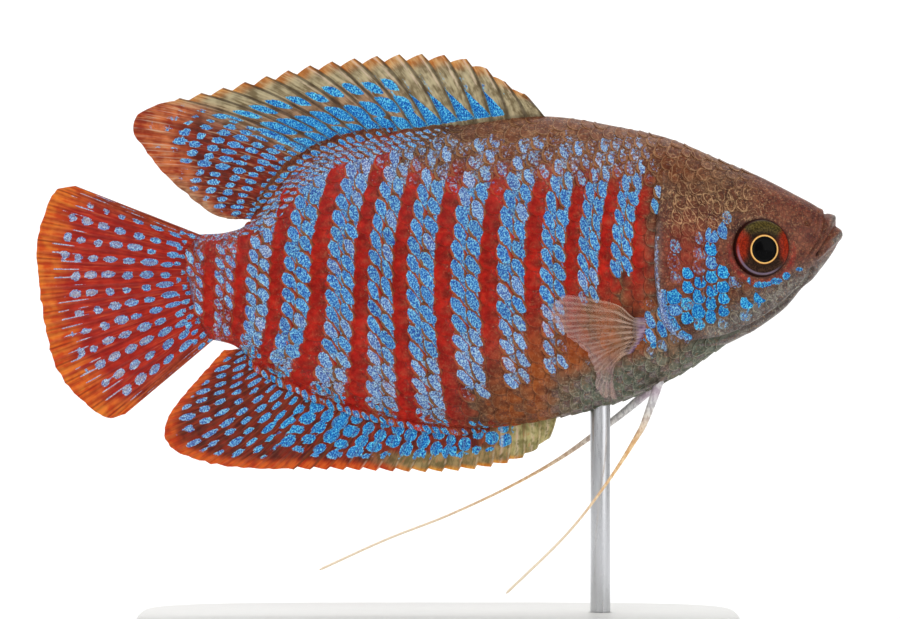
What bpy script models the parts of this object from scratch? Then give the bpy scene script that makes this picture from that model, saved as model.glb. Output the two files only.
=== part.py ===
"""A male dwarf gourami as a still, life-size museum model on a small display stand.

The fish swims level and faces +X, Z is up, and its right side faces -Y. The tables below are in
millimetres in that frame. The stand's underside is z = 0, and the fish is centred over it in X.
The flesh is one smooth body that thin cuts part into head, lower jaw, trunk and tail base. Each fin
is a membrane of its own whose rays are raised in its surface, seated on the body with a small gap.
"""

import math

import bmesh
import bpy
import numpy as np

MM = 0.001
GAP = 0.3
FACET_SLACK = 0.03

# Side outline of the body from the tail root to the snout: x, z along the back and the belly
BACK = [
    (-25.0, 40.8), (-23.6, 40.9), (-21.1, 41.1), (-19.4, 41.7), (-18.4, 42.5), (-15.0, 46.6),
    (-11.7, 48.8), (-6.0, 50.4), (0.0, 51.4), (5.0, 52.2), (10.3, 52.7), (18.2, 51.6), (23.0, 50.5),
    (28.5, 48.2), (33.1, 46.2), (35.8, 44.7), (38.2, 43.3), (39.2, 42.5), (39.8, 41.7), (40.2, 41.0),
]
BELLY = [
    (-25.0, 30.2), (-22.1, 30.0), (-20.2, 29.4), (-18.5, 27.9), (-14.2, 25.5), (-11.1, 24.2),
    (-6.4, 22.7), (-1.9, 21.8), (4.2, 21.3), (11.8, 22.3), (19.5, 24.4), (24.3, 26.7), (29.0, 29.8),
    (32.4, 31.7), (34.5, 33.3), (36.6, 35.6), (38.7, 37.9), (39.7, 39.4), (40.2, 40.4),
]
# Greatest half width of the body along x, and how flat its section is towards the back ridge
HALF_WIDTH = [
    (-25.0, 1.1), (-23.6, 1.4), (-18.0, 2.3), (-12.0, 3.3), (-6.0, 4.2), (0.0, 5.0), (6.0, 5.5),
    (12.0, 5.8), (17.0, 5.9), (22.0, 5.6), (27.0, 5.0), (32.4, 4.0), (35.0, 3.2), (37.5, 2.3),
    (39.0, 1.6), (39.8, 1.0), (40.2, 0.6),
]
RIDGE_POWER = [(-25.0, 0.55), (-10.0, 0.6), (10.0, 0.62), (24.0, 0.52), (40.2, 0.48)]
KEEL_POWER = [(-25.0, 0.55), (-10.0, 0.62), (10.0, 0.52), (24.0, 0.46), (40.2, 0.48)]

# Rear edge of the gill covers: x at heights from the belly, -1, to the back, 1
GILL_EDGE = [
    (-1.0, 29.0), (-0.86, 27.2), (-0.74, 25.0), (-0.62, 23.3), (-0.5, 22.3), (-0.3, 21.7),
    (0.16, 21.4), (0.5, 22.0), (1.0, 23.0),
]
GILL_LIFT = 0.5
GILL_SLOPE = 7.5
TRUNK_END = -17.3
TAIL_ROOT_LOW, TAIL_ROOT_HIGH, TAIL_ROOT_BULGE = -22.3, -23.6, 1.1

RING_SIDES = 36
HEAD_STATIONS = 15
TRUNK_STATIONS = 17
TAIL_STATIONS = 5
SNOUT_EASE = 0.35

EYE_X, EYE_Z, EYE_RADIUS, EYE_HALF_DEPTH = 32.4, 39.45, 2.75, 1.55
EYE_BULGE = 0.55
EYE_YAW = 14.0
NOSTRIL_X, NOSTRIL_Z, NOSTRIL_RADIUS = 36.8, 41.85, 0.32

# Lips as arcs from the corner of the mouth round the front, and the cut below them
UPPER_LIP = [(37.9, 1.9, 39.3), (38.6, 1.65, 40.9), (39.1, 0.95, 41.95), (39.3, 0.0, 42.3)]
LOWER_LIP = [(37.6, 2.0, 38.6), (38.9, 1.5, 39.8), (39.7, 0.8, 40.6), (39.85, 0.0, 40.75)]
LIP_RADIUS, LIP_CORNER_RADIUS = 0.48, 0.26
JAW_CUT = [
    (41.5, 41.35), (39.4, 41.3), (38.5, 40.1), (37.9, 38.9), (37.0, 37.2), (36.2, 35.0), (35.9, 34.0),
]

# Fins: where each starts and ends on the body, its free margin, and its rays
FIN_SINK = 1.3
DORSAL_FRONT, DORSAL_REAR = 10.5, -18.7
DORSAL_MARGIN = [
    (8.5, 54.7), (6.7, 56.0), (2.9, 58.3), (-3.2, 58.8), (-12.0, 57.8), (-21.4, 55.4), (-28.0, 53.8),
    (-30.1, 52.7), (-30.6, 51.3), (-29.5, 49.4), (-27.0, 46.4), (-22.8, 42.9), (-20.4, 42.3),
]
DORSAL_RAYS, DORSAL_SPINES = 26, 17
ANAL_FRONT, ANAL_REAR = 11.8, -20.1
ANAL_MARGIN = [
    (11.1, 20.4), (8.8, 18.6), (5.1, 17.5), (-0.6, 17.0), (-9.0, 17.2), (-20.5, 17.5), (-25.7, 18.8),
    (-27.2, 20.1), (-27.4, 21.2), (-26.6, 23.2), (-23.1, 27.4), (-21.4, 29.2),
]
ANAL_RAYS, ANAL_SPINES = 32, 17
CAUDAL_MARGIN = [
    (-36.3, 45.6), (-38.1, 45.3), (-39.0, 43.9), (-40.2, 39.9), (-39.9, 35.4), (-39.2, 31.0),
    (-38.4, 28.0), (-36.8, 25.3), (-34.5, 23.2), (-32.9, 22.4), (-31.3, 22.8),
]
CAUDAL_RAYS = 17
PECTORAL_ROOT = [(20.9, 33.2), (21.0, 32.2), (20.2, 30.6), (19.3, 29.3)]
PECTORAL_MARGIN = [
    (12.2, 34.7), (11.2, 33.6), (11.1, 32.3), (12.6, 30.7), (14.4, 29.0), (15.0, 26.8), (15.1, 25.2),
    (16.4, 24.3), (17.9, 24.5),
]
PECTORAL_RAYS = 11
# How far the side fin stands off the flank, root to tip, and how its lowest rays bend down
PECTORAL_OFF = [(0.0, -0.7), (0.12, 0.25), (0.35, 0.75), (0.65, 1.4), (1.0, 2.0)]
PECTORAL_DROOP_FROM, PECTORAL_DROOP = 0.55, (-1.4, 1.2)
PECTORAL_LOWEST = 29.5

# How much closer the rays stand towards the rear of a fin's root, and how far they bow
DORSAL_EASE, ANAL_EASE, FIN_BOW = 0.55, 0.6, 0.04

# Half thickness of the membrane and of the rays raised in it, root and tip, and a ray's half breadth
MEMBRANE_ROOT, MEMBRANE_TIP = 0.34, 0.25
SPINE_ROOT, SPINE_TIP = 0.64, 0.32
SOFT_ROOT, SOFT_TIP = 0.52, 0.31
RAY_FOOT = 0.24
# How far the free margins sway to the sides, and how many times along a fin
FIN_SWAY, DORSAL_WAVES, ANAL_WAVES, CAUDAL_WAVES = 0.45, 1.6, 1.3, 1.0
DORSAL_NOTCH, ANAL_NOTCH, SOFT_NOTCH = 0.85, 0.4, 0.12

# Pelvic feelers, root to tip, and how thick they are
FEELER_RIGHT = [
    (22.3, -0.9, 26.8), (20.8, -1.5, 22.6), (19.8, -1.9, 20.6), (16.7, -2.8, 15.9), (12.7, -3.9, 10.9),
    (6.7, -4.9, 5.1),
]
FEELER_LEFT = [
    (22.0, 0.9, 25.9), (18.8, 1.8, 23.1), (15.8, 2.6, 20.8), (11.8, 3.3, 18.0), (6.8, 4.0, 15.2),
    (0.8, 4.6, 12.4), (-5.3, 5.1, 10.0), (-12.1, 5.5, 6.9),
]
FEELER_RADIUS, FEELER_TIP_RADIUS = 0.36, 0.16

BASE_LENGTH, BASE_DEPTH, BASE_HEIGHT, BASE_EDGE = 60.0, 34.0, 3.0, 0.6
ROD_X, ROD_RADIUS, ROD_SOCKET = 16.2, 1.0, 1.8

COLOURS = {
    "scales": ((0.42, 0.10, 0.07), 0.4, 0.0),
    "head_skin": ((0.30, 0.17, 0.12), 0.45, 0.0),
    "fin": ((0.55, 0.16, 0.07), 0.5, 0.0),
    "clear_fin": ((0.62, 0.50, 0.46), 0.5, 0.0),
    "feeler": ((0.85, 0.66, 0.38), 0.45, 0.0),
    "eye": ((0.05, 0.03, 0.02), 0.08, 0.0),
    "painted_base": ((0.86, 0.86, 0.85), 0.4, 0.0),
    "steel": ((0.62, 0.62, 0.63), 0.28, 1.0),
}


def clear_scene():
    for old in list(bpy.data.objects):
        bpy.data.objects.remove(old)


def material(name):
    found = bpy.data.materials.get(name)
    if found:
        return found
    colour, roughness, metallic = COLOURS[name]
    made = bpy.data.materials.new(name)
    made.use_nodes = True
    shader = made.node_tree.nodes["Principled BSDF"]
    shader.inputs["Base Color"].default_value = (*colour, 1.0)
    shader.inputs["Roughness"].default_value = roughness
    shader.inputs["Metallic"].default_value = metallic
    return made


def smooth(table, at):
    """The value at one or more places, read from a smooth curve through the table's points."""
    places, values = np.array(table, float).T
    slopes = np.gradient(values, places)
    at = np.clip(at, places[0], places[-1])
    i = np.clip(np.searchsorted(places, at) - 1, 0, len(places) - 2)
    step = places[i + 1] - places[i]
    u = (at - places[i]) / step
    start = values[i] * (1 + 2 * u) * (1 - u) ** 2 + slopes[i] * step * u * (1 - u) ** 2
    return start + values[i + 1] * u * u * (3 - 2 * u) + slopes[i + 1] * step * u * u * (u - 1)


def along(points, fractions):
    """Points at these fractions of the length of a smooth curve through the given points."""
    points = np.array(points, float)
    places = np.arange(len(points))
    fine = np.linspace(0, len(points) - 1, 40 * len(points))
    path = np.column_stack([smooth(list(zip(places, axis)), fine) for axis in points.T])
    length = np.concatenate([[0], np.cumsum(np.linalg.norm(np.diff(path, axis=0), axis=1))])
    wanted = np.array(fractions) * length[-1]
    return np.column_stack([np.interp(wanted, length, axis) for axis in path.T])


def make_object(name, points, faces, finish):
    """A closed mesh object from points in millimetres, with its faces split and turned outwards."""
    mesh = bpy.data.meshes.new(name)
    mesh.from_pydata((np.array(points) * MM).tolist(), [], [list(map(int, face)) for face in faces])
    model = bmesh.new()
    model.from_mesh(mesh)
    bmesh.ops.remove_doubles(model, verts=model.verts, dist=0.004 * MM)
    bmesh.ops.triangulate(model, faces=model.faces)
    bmesh.ops.recalc_face_normals(model, faces=model.faces)
    model.to_mesh(mesh)
    model.free()
    mesh.materials.append(material(finish))
    made = bpy.data.objects.new(name, mesh)
    bpy.context.scene.collection.objects.link(made)
    return made


def hide(helper):
    helper.hide_render = True
    helper.display_type = "WIRE"
    return helper


def boolean(target, other, operation, solver="EXACT"):
    """Applies one Boolean to the target and keeps only the largest closed surface that is left."""
    modifier = target.modifiers.new(operation.lower(), "BOOLEAN")
    modifier.operation = operation
    modifier.solver = solver
    modifier.object = other
    bpy.context.view_layer.update()
    graph = bpy.context.evaluated_depsgraph_get()
    mesh = bpy.data.meshes.new_from_object(target.evaluated_get(graph))
    target.modifiers.clear()
    target.data = mesh
    keep_largest(target)


def keep_largest(target):
    model = bmesh.new()
    model.from_mesh(target.data)
    bmesh.ops.remove_doubles(model, verts=model.verts, dist=0.002 * MM)
    bmesh.ops.dissolve_degenerate(model, edges=model.edges, dist=0.001 * MM)
    bmesh.ops.triangulate(model, faces=model.faces)
    waiting = set(model.faces)
    pieces = []
    while waiting:
        piece = set()
        front = [waiting.pop()]
        while front:
            face = front.pop()
            piece.add(face)
            near = {other for edge in face.edges for other in edge.link_faces} & waiting
            waiting -= near
            front.extend(near)
        pieces.append(piece)
    pieces.sort(key=lambda piece: sum(face.calc_area() for face in piece))
    scraps = [face for piece in pieces[:-1] for face in piece]
    bmesh.ops.delete(model, geom=scraps, context="FACES")
    model.to_mesh(target.data)
    model.free()


def remove(helper):
    bpy.data.objects.remove(helper)


def shade(target, degrees=38):
    target.data.shade_smooth()
    target.data.set_sharp_from_angle(angle=math.radians(degrees))


def body_surface(x, angle, grow=0.0, lift=0.0):
    """Points of the body's skin: x along the body, angle round it from the belly, -90 degrees."""
    height = np.sin(angle)
    top, bottom = smooth(BACK, x), smooth(BELLY, x)
    power = np.where(height > 0, smooth(RIDGE_POWER, x), smooth(KEEL_POWER, x))
    cosine = np.cos(angle)
    round_it = np.sign(cosine) * np.abs(cosine) ** (2 * power)
    width = smooth(HALF_WIDTH, x) + grow + lift
    middle, half = (top + bottom) / 2, (top - bottom) / 2 + grow
    return np.stack([x, round_it * width, middle + half * height], axis=-1)


def half_width_at(x, z):
    """Half width of the body at a place in side view."""
    top, bottom = smooth(BACK, x), smooth(BELLY, x)
    height = np.clip((z - (top + bottom) / 2) / ((top - bottom) / 2), -1, 1)
    power = np.where(height > 0, smooth(RIDGE_POWER, x), smooth(KEEL_POWER, x))
    return smooth(HALF_WIDTH, x) * (1 - height**2) ** power


def ring_angles():
    return -math.pi / 2 + 2 * math.pi * np.arange(RING_SIDES) / RING_SIDES


def gill_edge(angle):
    return smooth(GILL_EDGE, np.sin(angle))


def tail_root(angle):
    """The rear end of the flesh, where the tail fin takes over: a line that bulges to the rear."""
    height = np.sin(angle)
    slant = TAIL_ROOT_LOW + (TAIL_ROOT_HIGH - TAIL_ROOT_LOW) * (height + 1) / 2
    return slant - TAIL_ROOT_BULGE * (1 - height**2)


def gill_lift(x, angle):
    """How far the gill cover stands proud: full at its rear edge, fading forwards and up."""
    forward = np.clip((x - gill_edge(angle)) / GILL_SLOPE, 0, 1)
    height = np.sin(angle)
    window = np.clip((height + 1) / 0.12, 0, 1) * np.clip((0.72 - height) / 0.25, 0, 1)
    return GILL_LIFT * (1 - forward) ** 2 * window


def head_rings(grow=0.0):
    angle = ring_angles()
    shares = fan_out(np.linspace(0, 1, HEAD_STATIONS), SNOUT_EASE)
    start, nose = gill_edge(angle), BACK[-1][0]
    return [body_surface(x, angle, grow, gill_lift(x, angle)) for x in
            (start + (nose - start) * share for share in shares)][::-1]


def trunk_rings(grow=0.0):
    angle = ring_angles()
    start = gill_edge(angle) - GAP
    return [body_surface(start + (TRUNK_END - start) * share, angle, grow)
            for share in np.linspace(0, 1, TRUNK_STATIONS)]


def tail_rings(grow=0.0):
    angle = ring_angles()
    start = TRUNK_END - GAP
    return [body_surface(start + (tail_root(angle) - start) * share, angle, grow)
            for share in np.linspace(0, 1, TAIL_STATIONS)]


def loft(name, rings, finish):
    """A closed solid over a row of rings. Each end is a ladder of faces from side to side."""
    sides = len(rings[0])
    faces = []
    for row in range(len(rings) - 1):
        for side in range(sides):
            following = (side + 1) % sides
            faces.append((row * sides + side, row * sides + following,
                          (row + 1) * sides + following, (row + 1) * sides + side))
    for first in (0, (len(rings) - 1) * sides):
        for side in range(sides // 2):
            rung = [side, side + 1, sides - side - 1, (sides - side) % sides]
            faces.append([first + place for place in dict.fromkeys(rung)])
    return make_object(name, np.concatenate(rings), faces, finish)


def tube(name, path, radii, sides, finish):
    """A tapered round tube with closed ends."""
    path = np.array(path, float)
    points = []
    for place, radius in zip(range(len(path)), radii):
        ahead = path[min(place + 1, len(path) - 1)] - path[max(place - 1, 0)]
        ahead /= np.linalg.norm(ahead)
        across = np.cross(ahead, (0.0, 0.0, 1.0) if abs(ahead[2]) < 0.9 else (0.0, 1.0, 0.0))
        across /= np.linalg.norm(across)
        other = np.cross(ahead, across)
        for turn in 2 * math.pi * np.arange(sides) / sides:
            points.append(path[place] + radius * (math.cos(turn) * across + math.sin(turn) * other))
    faces = [list(range(sides)), list(range(len(points) - sides, len(points)))]
    for row in range(len(path) - 1):
        for side in range(sides):
            following = (side + 1) % sides
            faces.append((row * sides + side, row * sides + following,
                          (row + 1) * sides + following, (row + 1) * sides + side))
    return make_object(name, points, faces, finish)


def prism(name, outline, half_depth):
    """A cutter with this outline in side view, as deep as asked to both sides."""
    count = len(outline)
    points = [(x, side * half_depth, z) for side in (-1, 1) for x, z in outline]
    faces = [list(range(count)), list(range(count, 2 * count))]
    for corner in range(count):
        following = (corner + 1) % count
        faces.append((corner, following, count + following, count + corner))
    return hide(make_object(name, points, faces, "steel"))


def ellipsoid(name, centre, radii, yaw, finish, segments=24):
    model = bmesh.new()
    bmesh.ops.create_uvsphere(model, u_segments=segments, v_segments=segments // 2, radius=1.0)
    points = np.array([vertex.co[:] for vertex in model.verts])[:, [0, 2, 1]] * radii
    faces = [[vertex.index for vertex in face.verts] for face in model.faces]
    model.free()
    turn = math.radians(yaw)
    spin = np.array([[math.cos(turn), -math.sin(turn), 0], [math.sin(turn), math.cos(turn), 0], [0, 0, 1]])
    return make_object(name, points @ spin.T + centre, faces, finish)


def sheet_solid(name, right, left, finish):
    """A closed thin solid between two like grids of points, both split along the same diagonals."""
    columns, rows = right.shape[:2]
    points = np.concatenate([right.reshape(-1, 3), left.reshape(-1, 3)])
    half = columns * rows
    faces = []
    for column in range(columns - 1):
        for row in range(rows - 1):
            a = column * rows + row
            b, c, d = a + rows, a + rows + 1, a + 1
            faces += [(a, b, c), (a, c, d), (a + half, c + half, b + half), (a + half, d + half, c + half)]
    rim = [column * rows for column in range(columns)]
    rim += [(columns - 1) * rows + row for row in range(1, rows)]
    rim += [column * rows + rows - 1 for column in range(columns - 2, -1, -1)]
    rim += [row for row in range(rows - 2, 0, -1)]
    for place, a in enumerate(rim):
        b = rim[(place + 1) % len(rim)]
        faces += [(a, a + half, b + half), (a, b + half, b)]
    return make_object(name, points, faces, finish)


def ray_columns(rays, spines=0, spine_notch=0.0):
    """Columns of points across a fin: place along it, half thickness at root and tip, shortening.

    Each ray has a crest between two feet. The membrane ahead of a spine stops short of its tip, so
    the margin is saw-toothed along the spines and nearly smooth along the soft rays.
    """
    columns = []
    for ray in range(rays):
        spine = ray < spines
        notch = spine_notch if spine else SOFT_NOTCH
        crest = (SPINE_ROOT, SPINE_TIP) if spine else (SOFT_ROOT, SOFT_TIP)
        foot = (MEMBRANE_ROOT, MEMBRANE_TIP)
        for shift, ends, short in ((-RAY_FOOT, foot, notch), (0, crest, 0.0), (RAY_FOOT, foot, notch / 4)):
            if 0 <= ray + shift <= rays - 1:
                columns.append(((ray + shift) / (rays - 1), ends, short))
    return columns


def fan_out(share, ease):
    """Ray places along a fin's root: the rays stand closer towards the rear."""
    return share + ease * share * (1 - share)


def body_line(outline, front, rear, shares):
    x = front + (rear - front) * np.array(shares)
    return np.column_stack([x, smooth(outline, x)])


def midline_fin(name, columns, roots, tips, bow, waves, sink=0.0, flesh=None):
    """A fin in the fish's middle plane, from root and tip places, one for each column of points.

    Sink carries the root on into the flesh. Flesh is the half width of the flesh that it ends.
    """
    rows = np.array([0.0, 0.22, 0.48, 0.74, 1.0])
    lines, widths, sways = [], [], []
    for (share, (thick, thin), short), root, tip in zip(columns, roots, tips):
        ray = tip - root
        across = np.array([-ray[1], ray[0]])
        part = rows * (1 - short / np.linalg.norm(ray))
        line = root + np.outer(part, ray) + np.outer(4 * part * (1 - part), across) * bow
        half = thick + (thin - thick) * rows
        sway = FIN_SWAY * rows**2 * math.sin(2 * math.pi * waves * share)
        if sink:
            line = np.vstack([root - ray / np.linalg.norm(ray) * sink, line])
            half, sway = np.concatenate([[thick], half]), np.concatenate([[0.0], sway])
        lines.append(line)
        widths.append(half)
        sways.append(sway)
    flat, half, sway = np.array(lines), np.array(widths), np.array(sways)
    if flesh is not None:
        half[:, 0] = np.maximum(half[:, 0], flesh)
    right = np.stack([flat[..., 0], sway - half, flat[..., 1]], axis=-1)
    left = np.stack([flat[..., 0], sway + half, flat[..., 1]], axis=-1)
    return sheet_solid(name, right, left, "fin")


def dorsal_fin():
    columns = ray_columns(DORSAL_RAYS, DORSAL_SPINES, DORSAL_NOTCH)
    shares = np.array([column[0] for column in columns])
    roots = body_line(BACK, DORSAL_FRONT, DORSAL_REAR, fan_out(shares, DORSAL_EASE))
    tips = along(DORSAL_MARGIN, shares)
    return midline_fin("dorsal_fin", columns, roots, tips, -FIN_BOW, DORSAL_WAVES, FIN_SINK)


def anal_fin():
    columns = ray_columns(ANAL_RAYS, ANAL_SPINES, ANAL_NOTCH)
    shares = np.array([column[0] for column in columns])
    roots = body_line(BELLY, ANAL_FRONT, ANAL_REAR, fan_out(shares, ANAL_EASE))
    tips = along(ANAL_MARGIN, shares)
    return midline_fin("anal_fin", columns, roots, tips, FIN_BOW, ANAL_WAVES, FIN_SINK)


def caudal_fin():
    columns = ray_columns(CAUDAL_RAYS)
    shares = np.array([column[0] for column in columns])
    angle = np.arcsin(0.995 * (1 - 2 * shares))
    edge = body_surface(tail_root(angle), angle)
    roots = edge[:, [0, 2]] - (GAP, 0.0)
    tips = along(CAUDAL_MARGIN, shares)
    return midline_fin("caudal_fin", columns, roots, tips, 0.0, CAUDAL_WAVES, flesh=edge[:, 1])


def pectoral_fin(name, side):
    """A side fin that leaves the flank just behind the gill cover and fans out along it."""
    columns = ray_columns(PECTORAL_RAYS)
    shares = np.array([column[0] for column in columns])
    roots, tips = along(PECTORAL_ROOT, shares), along(PECTORAL_MARGIN, shares)
    rows, stand_off = np.array(PECTORAL_OFF).T
    right, left = [], []
    for (share, (thick, thin), short), root, tip in zip(columns, roots, tips):
        droop = max(0.0, share - PECTORAL_DROOP_FROM) / (1 - PECTORAL_DROOP_FROM)
        bend = (root + tip) / 2 + np.array(PECTORAL_DROOP) * droop
        part = rows * (1 - short / np.linalg.norm(tip - root))
        line = np.outer((1 - part) ** 2, root) + np.outer(2 * part * (1 - part), bend)
        line += np.outer(part**2, tip)
        away = half_width_at(line[:, 0], np.maximum(line[:, 1], PECTORAL_LOWEST)) + stand_off
        half = thick + (thin - thick) * rows
        for grid, turn in ((right, 1), (left, -1)):
            grid.append(np.column_stack([line[:, 0], side * (away + turn * half), line[:, 1]]))
    return sheet_solid(name, np.array(right), np.array(left), "clear_fin")


def feeler(name, points):
    shares = np.linspace(0, 1, 26)
    path = along(points, shares)
    radii = FEELER_RADIUS + (FEELER_TIP_RADIUS - FEELER_RADIUS) * shares**0.8
    return tube(name, path, radii, 8, "feeler")


def lip(name, half_arc):
    arc = [(x, -y, z) for x, y, z in half_arc] + [point for point in half_arc[-2::-1]]
    shares = np.linspace(0, 1, 19)
    radii = LIP_CORNER_RADIUS + (LIP_RADIUS - LIP_CORNER_RADIUS) * np.sin(math.pi * shares)
    return hide(tube(name, along(arc, shares), radii, 8, "head_skin"))


def jaw_prism(name, shift):
    """The space in front of and below the jaw cut, grown by a shift up and to the rear."""
    edge = [(x - shift, z + 0.6 * shift) for x, z in JAW_CUT]
    return prism(name, [(41.5 + shift, 33.5), *edge, (JAW_CUT[-1][0] - shift, 33.5)], 8.0)


def eye_place(side):
    away = float(half_width_at(EYE_X, EYE_Z)) + EYE_BULGE - EYE_HALF_DEPTH
    return np.array([EYE_X, side * away, EYE_Z])


def make_head():
    """Head, lower jaw and eyes: the lips are fused on, then the jaw and the sockets are cut."""
    head = loft("head", head_rings(), "head_skin")
    for part, arc in (("lip_above", UPPER_LIP), ("lip_below", LOWER_LIP)):
        tool = lip(part, arc)
        boolean(head, tool, "UNION")
        remove(tool)
    jaw = head.copy()
    jaw.data = head.data.copy()
    jaw.name = "lower_jaw"
    bpy.context.scene.collection.objects.link(jaw)
    space = jaw_prism("jaw_space", 0.0)
    boolean(jaw, space, "INTERSECT")
    remove(space)
    space = jaw_prism("jaw_clearance", GAP)
    boolean(head, space, "DIFFERENCE")
    remove(space)
    for side, word in ((-1, "right"), (1, "left")):
        centre = eye_place(side)
        radii = np.array([EYE_RADIUS, EYE_HALF_DEPTH, EYE_RADIUS])
        ellipsoid(f"eye_{word}", centre, radii, -side * EYE_YAW, "eye")
        socket = hide(ellipsoid("socket", centre, radii + GAP, -side * EYE_YAW, "eye"))
        boolean(head, socket, "DIFFERENCE")
        remove(socket)
        nose = np.array([NOSTRIL_X, side * float(half_width_at(NOSTRIL_X, NOSTRIL_Z)), NOSTRIL_Z])
        pit = hide(ellipsoid("pit", nose, np.full(3, NOSTRIL_RADIUS), 0.0, "eye", 12))
        boolean(head, pit, "DIFFERENCE")
        remove(pit)
    for piece in (head, jaw):
        shade(piece)


def stand_base():
    count = 72
    outline = []
    for turn in 2 * math.pi * np.arange(count) / count:
        cosine, sine = math.cos(turn), math.sin(turn)
        x = BASE_LENGTH / 2 * math.copysign(abs(cosine) ** 0.55, cosine)
        outline.append((x, BASE_DEPTH / 2 * math.copysign(abs(sine) ** 0.55, sine)))
    levels = [(0.0, 1.0), (BASE_HEIGHT - BASE_EDGE, 1.0), (BASE_HEIGHT, 1.0 - BASE_EDGE / (BASE_DEPTH / 2))]
    points = [(x * scale, y * scale, z) for z, scale in levels for x, y in outline]
    faces = [list(range(count)), list(range(2 * count, 3 * count))]
    for row in range(2):
        for side in range(count):
            following = (side + 1) % count
            faces.append((row * count + side, row * count + following,
                          (row + 1) * count + following, (row + 1) * count + side))
    base = make_object("stand_base", points, faces, "painted_base")
    socket = hide(tube("rod_socket", [(ROD_X, 0, BASE_HEIGHT - ROD_SOCKET), (ROD_X, 0, BASE_HEIGHT + 2)],
                       [ROD_RADIUS + GAP] * 2, 24, "steel"))
    boolean(base, socket, "DIFFERENCE")
    remove(socket)
    shade(base)
    return base


def stand_rod():
    """A straight rod from its socket in the base up into the belly, ahead of the anal fin."""
    low = BASE_HEIGHT - ROD_SOCKET + GAP
    high = float(smooth(BELLY, ROD_X)) + 2.0
    return tube("stand_rod", [(ROD_X, 0, low), (ROD_X, 0, high)], [ROD_RADIUS] * 2, 20, "steel")


def main():
    clear_scene()
    make_head()
    shade(loft("trunk", trunk_rings(), "scales"))
    shade(loft("tail_base", tail_rings(), "scales"))
    around = GAP + FACET_SLACK
    rings = head_rings(around) + trunk_rings(around) + tail_rings(around)
    envelope = hide(loft("body_envelope", rings, "scales"))
    seated = [dorsal_fin(), anal_fin(), pectoral_fin("pectoral_fin_right", -1),
              pectoral_fin("pectoral_fin_left", 1), feeler("pelvic_feeler_right", FEELER_RIGHT),
              feeler("pelvic_feeler_left", FEELER_LEFT), stand_rod()]
    for piece in seated:
        boolean(piece, envelope, "DIFFERENCE")
        shade(piece)
    remove(envelope)
    shade(caudal_fin())
    stand_base()


main()
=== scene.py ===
# %% [markdown]
# # A dwarf gourami as a life-size display model
#
# The real animal is a small fish, flat from side to side, with red and blue bars made by single
# scales. The solids already give its size and outline. This script gives it skin, scales, rayed
# fins and eyes, and sets it on its stand. Lengths in the tables are millimetres, because that is how
# a fish this small is measured, and they become metres only where a mesh is filled.

# %% Load the solids
import math

import bpy
import numpy as np
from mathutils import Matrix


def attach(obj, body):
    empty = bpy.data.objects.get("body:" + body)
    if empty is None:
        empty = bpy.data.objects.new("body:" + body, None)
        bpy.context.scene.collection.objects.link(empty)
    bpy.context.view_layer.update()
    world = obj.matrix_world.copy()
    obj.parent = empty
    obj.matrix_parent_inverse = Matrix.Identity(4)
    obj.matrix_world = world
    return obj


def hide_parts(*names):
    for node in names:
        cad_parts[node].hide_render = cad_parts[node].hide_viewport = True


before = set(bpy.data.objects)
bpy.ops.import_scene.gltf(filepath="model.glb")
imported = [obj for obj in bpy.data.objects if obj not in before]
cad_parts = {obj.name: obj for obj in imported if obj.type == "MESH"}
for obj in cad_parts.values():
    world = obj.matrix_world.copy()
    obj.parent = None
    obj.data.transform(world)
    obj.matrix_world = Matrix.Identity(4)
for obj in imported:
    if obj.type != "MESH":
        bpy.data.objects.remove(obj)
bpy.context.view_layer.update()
MM = 0.001

# %% [markdown]
# ## Camera
# The photograph looks level at the fish's right side from far off, so a long lens is used. One
# picture width then spans 90 mm, which sets the distance.

# %% Camera
CAMERA_DISTANCE = 0.5
CAMERA_AIM = (0.00117, 0.0, 0.03325)

bpy.ops.object.select_all(action="DESELECT")
bpy.ops.object.camera_add(location=(CAMERA_AIM[0], -CAMERA_DISTANCE, CAMERA_AIM[2]),
                          rotation=(math.pi / 2, 0.0, 0.0))
camera = bpy.context.object
camera.data.lens = 200.0
camera.data.sensor_width = 36.0
camera.data.clip_start = 0.01
bpy.context.scene.camera = camera
bpy.context.scene.view_settings.view_transform = "Standard"
print("camera looks along +Y from", CAMERA_DISTANCE, "m")

# %% [markdown]
# ## Shader helpers
# Each finish is a small graph of nodes. These helpers add one node and link whatever is handed to
# it, so that a graph reads from top to bottom like a recipe. Colours are named by the 0 to 255
# values that a screen shows and turned into the linear values that a shader needs.


# %% Colour and node helpers
def tone(red, green, blue):
    """A screen colour as the linear colour of a shader."""
    shares = [value / 255 for value in (red, green, blue)]
    return (*[s / 12.92 if s <= 0.04045 else ((s + 0.055) / 1.055) ** 2.4 for s in shares], 1.0)


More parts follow.
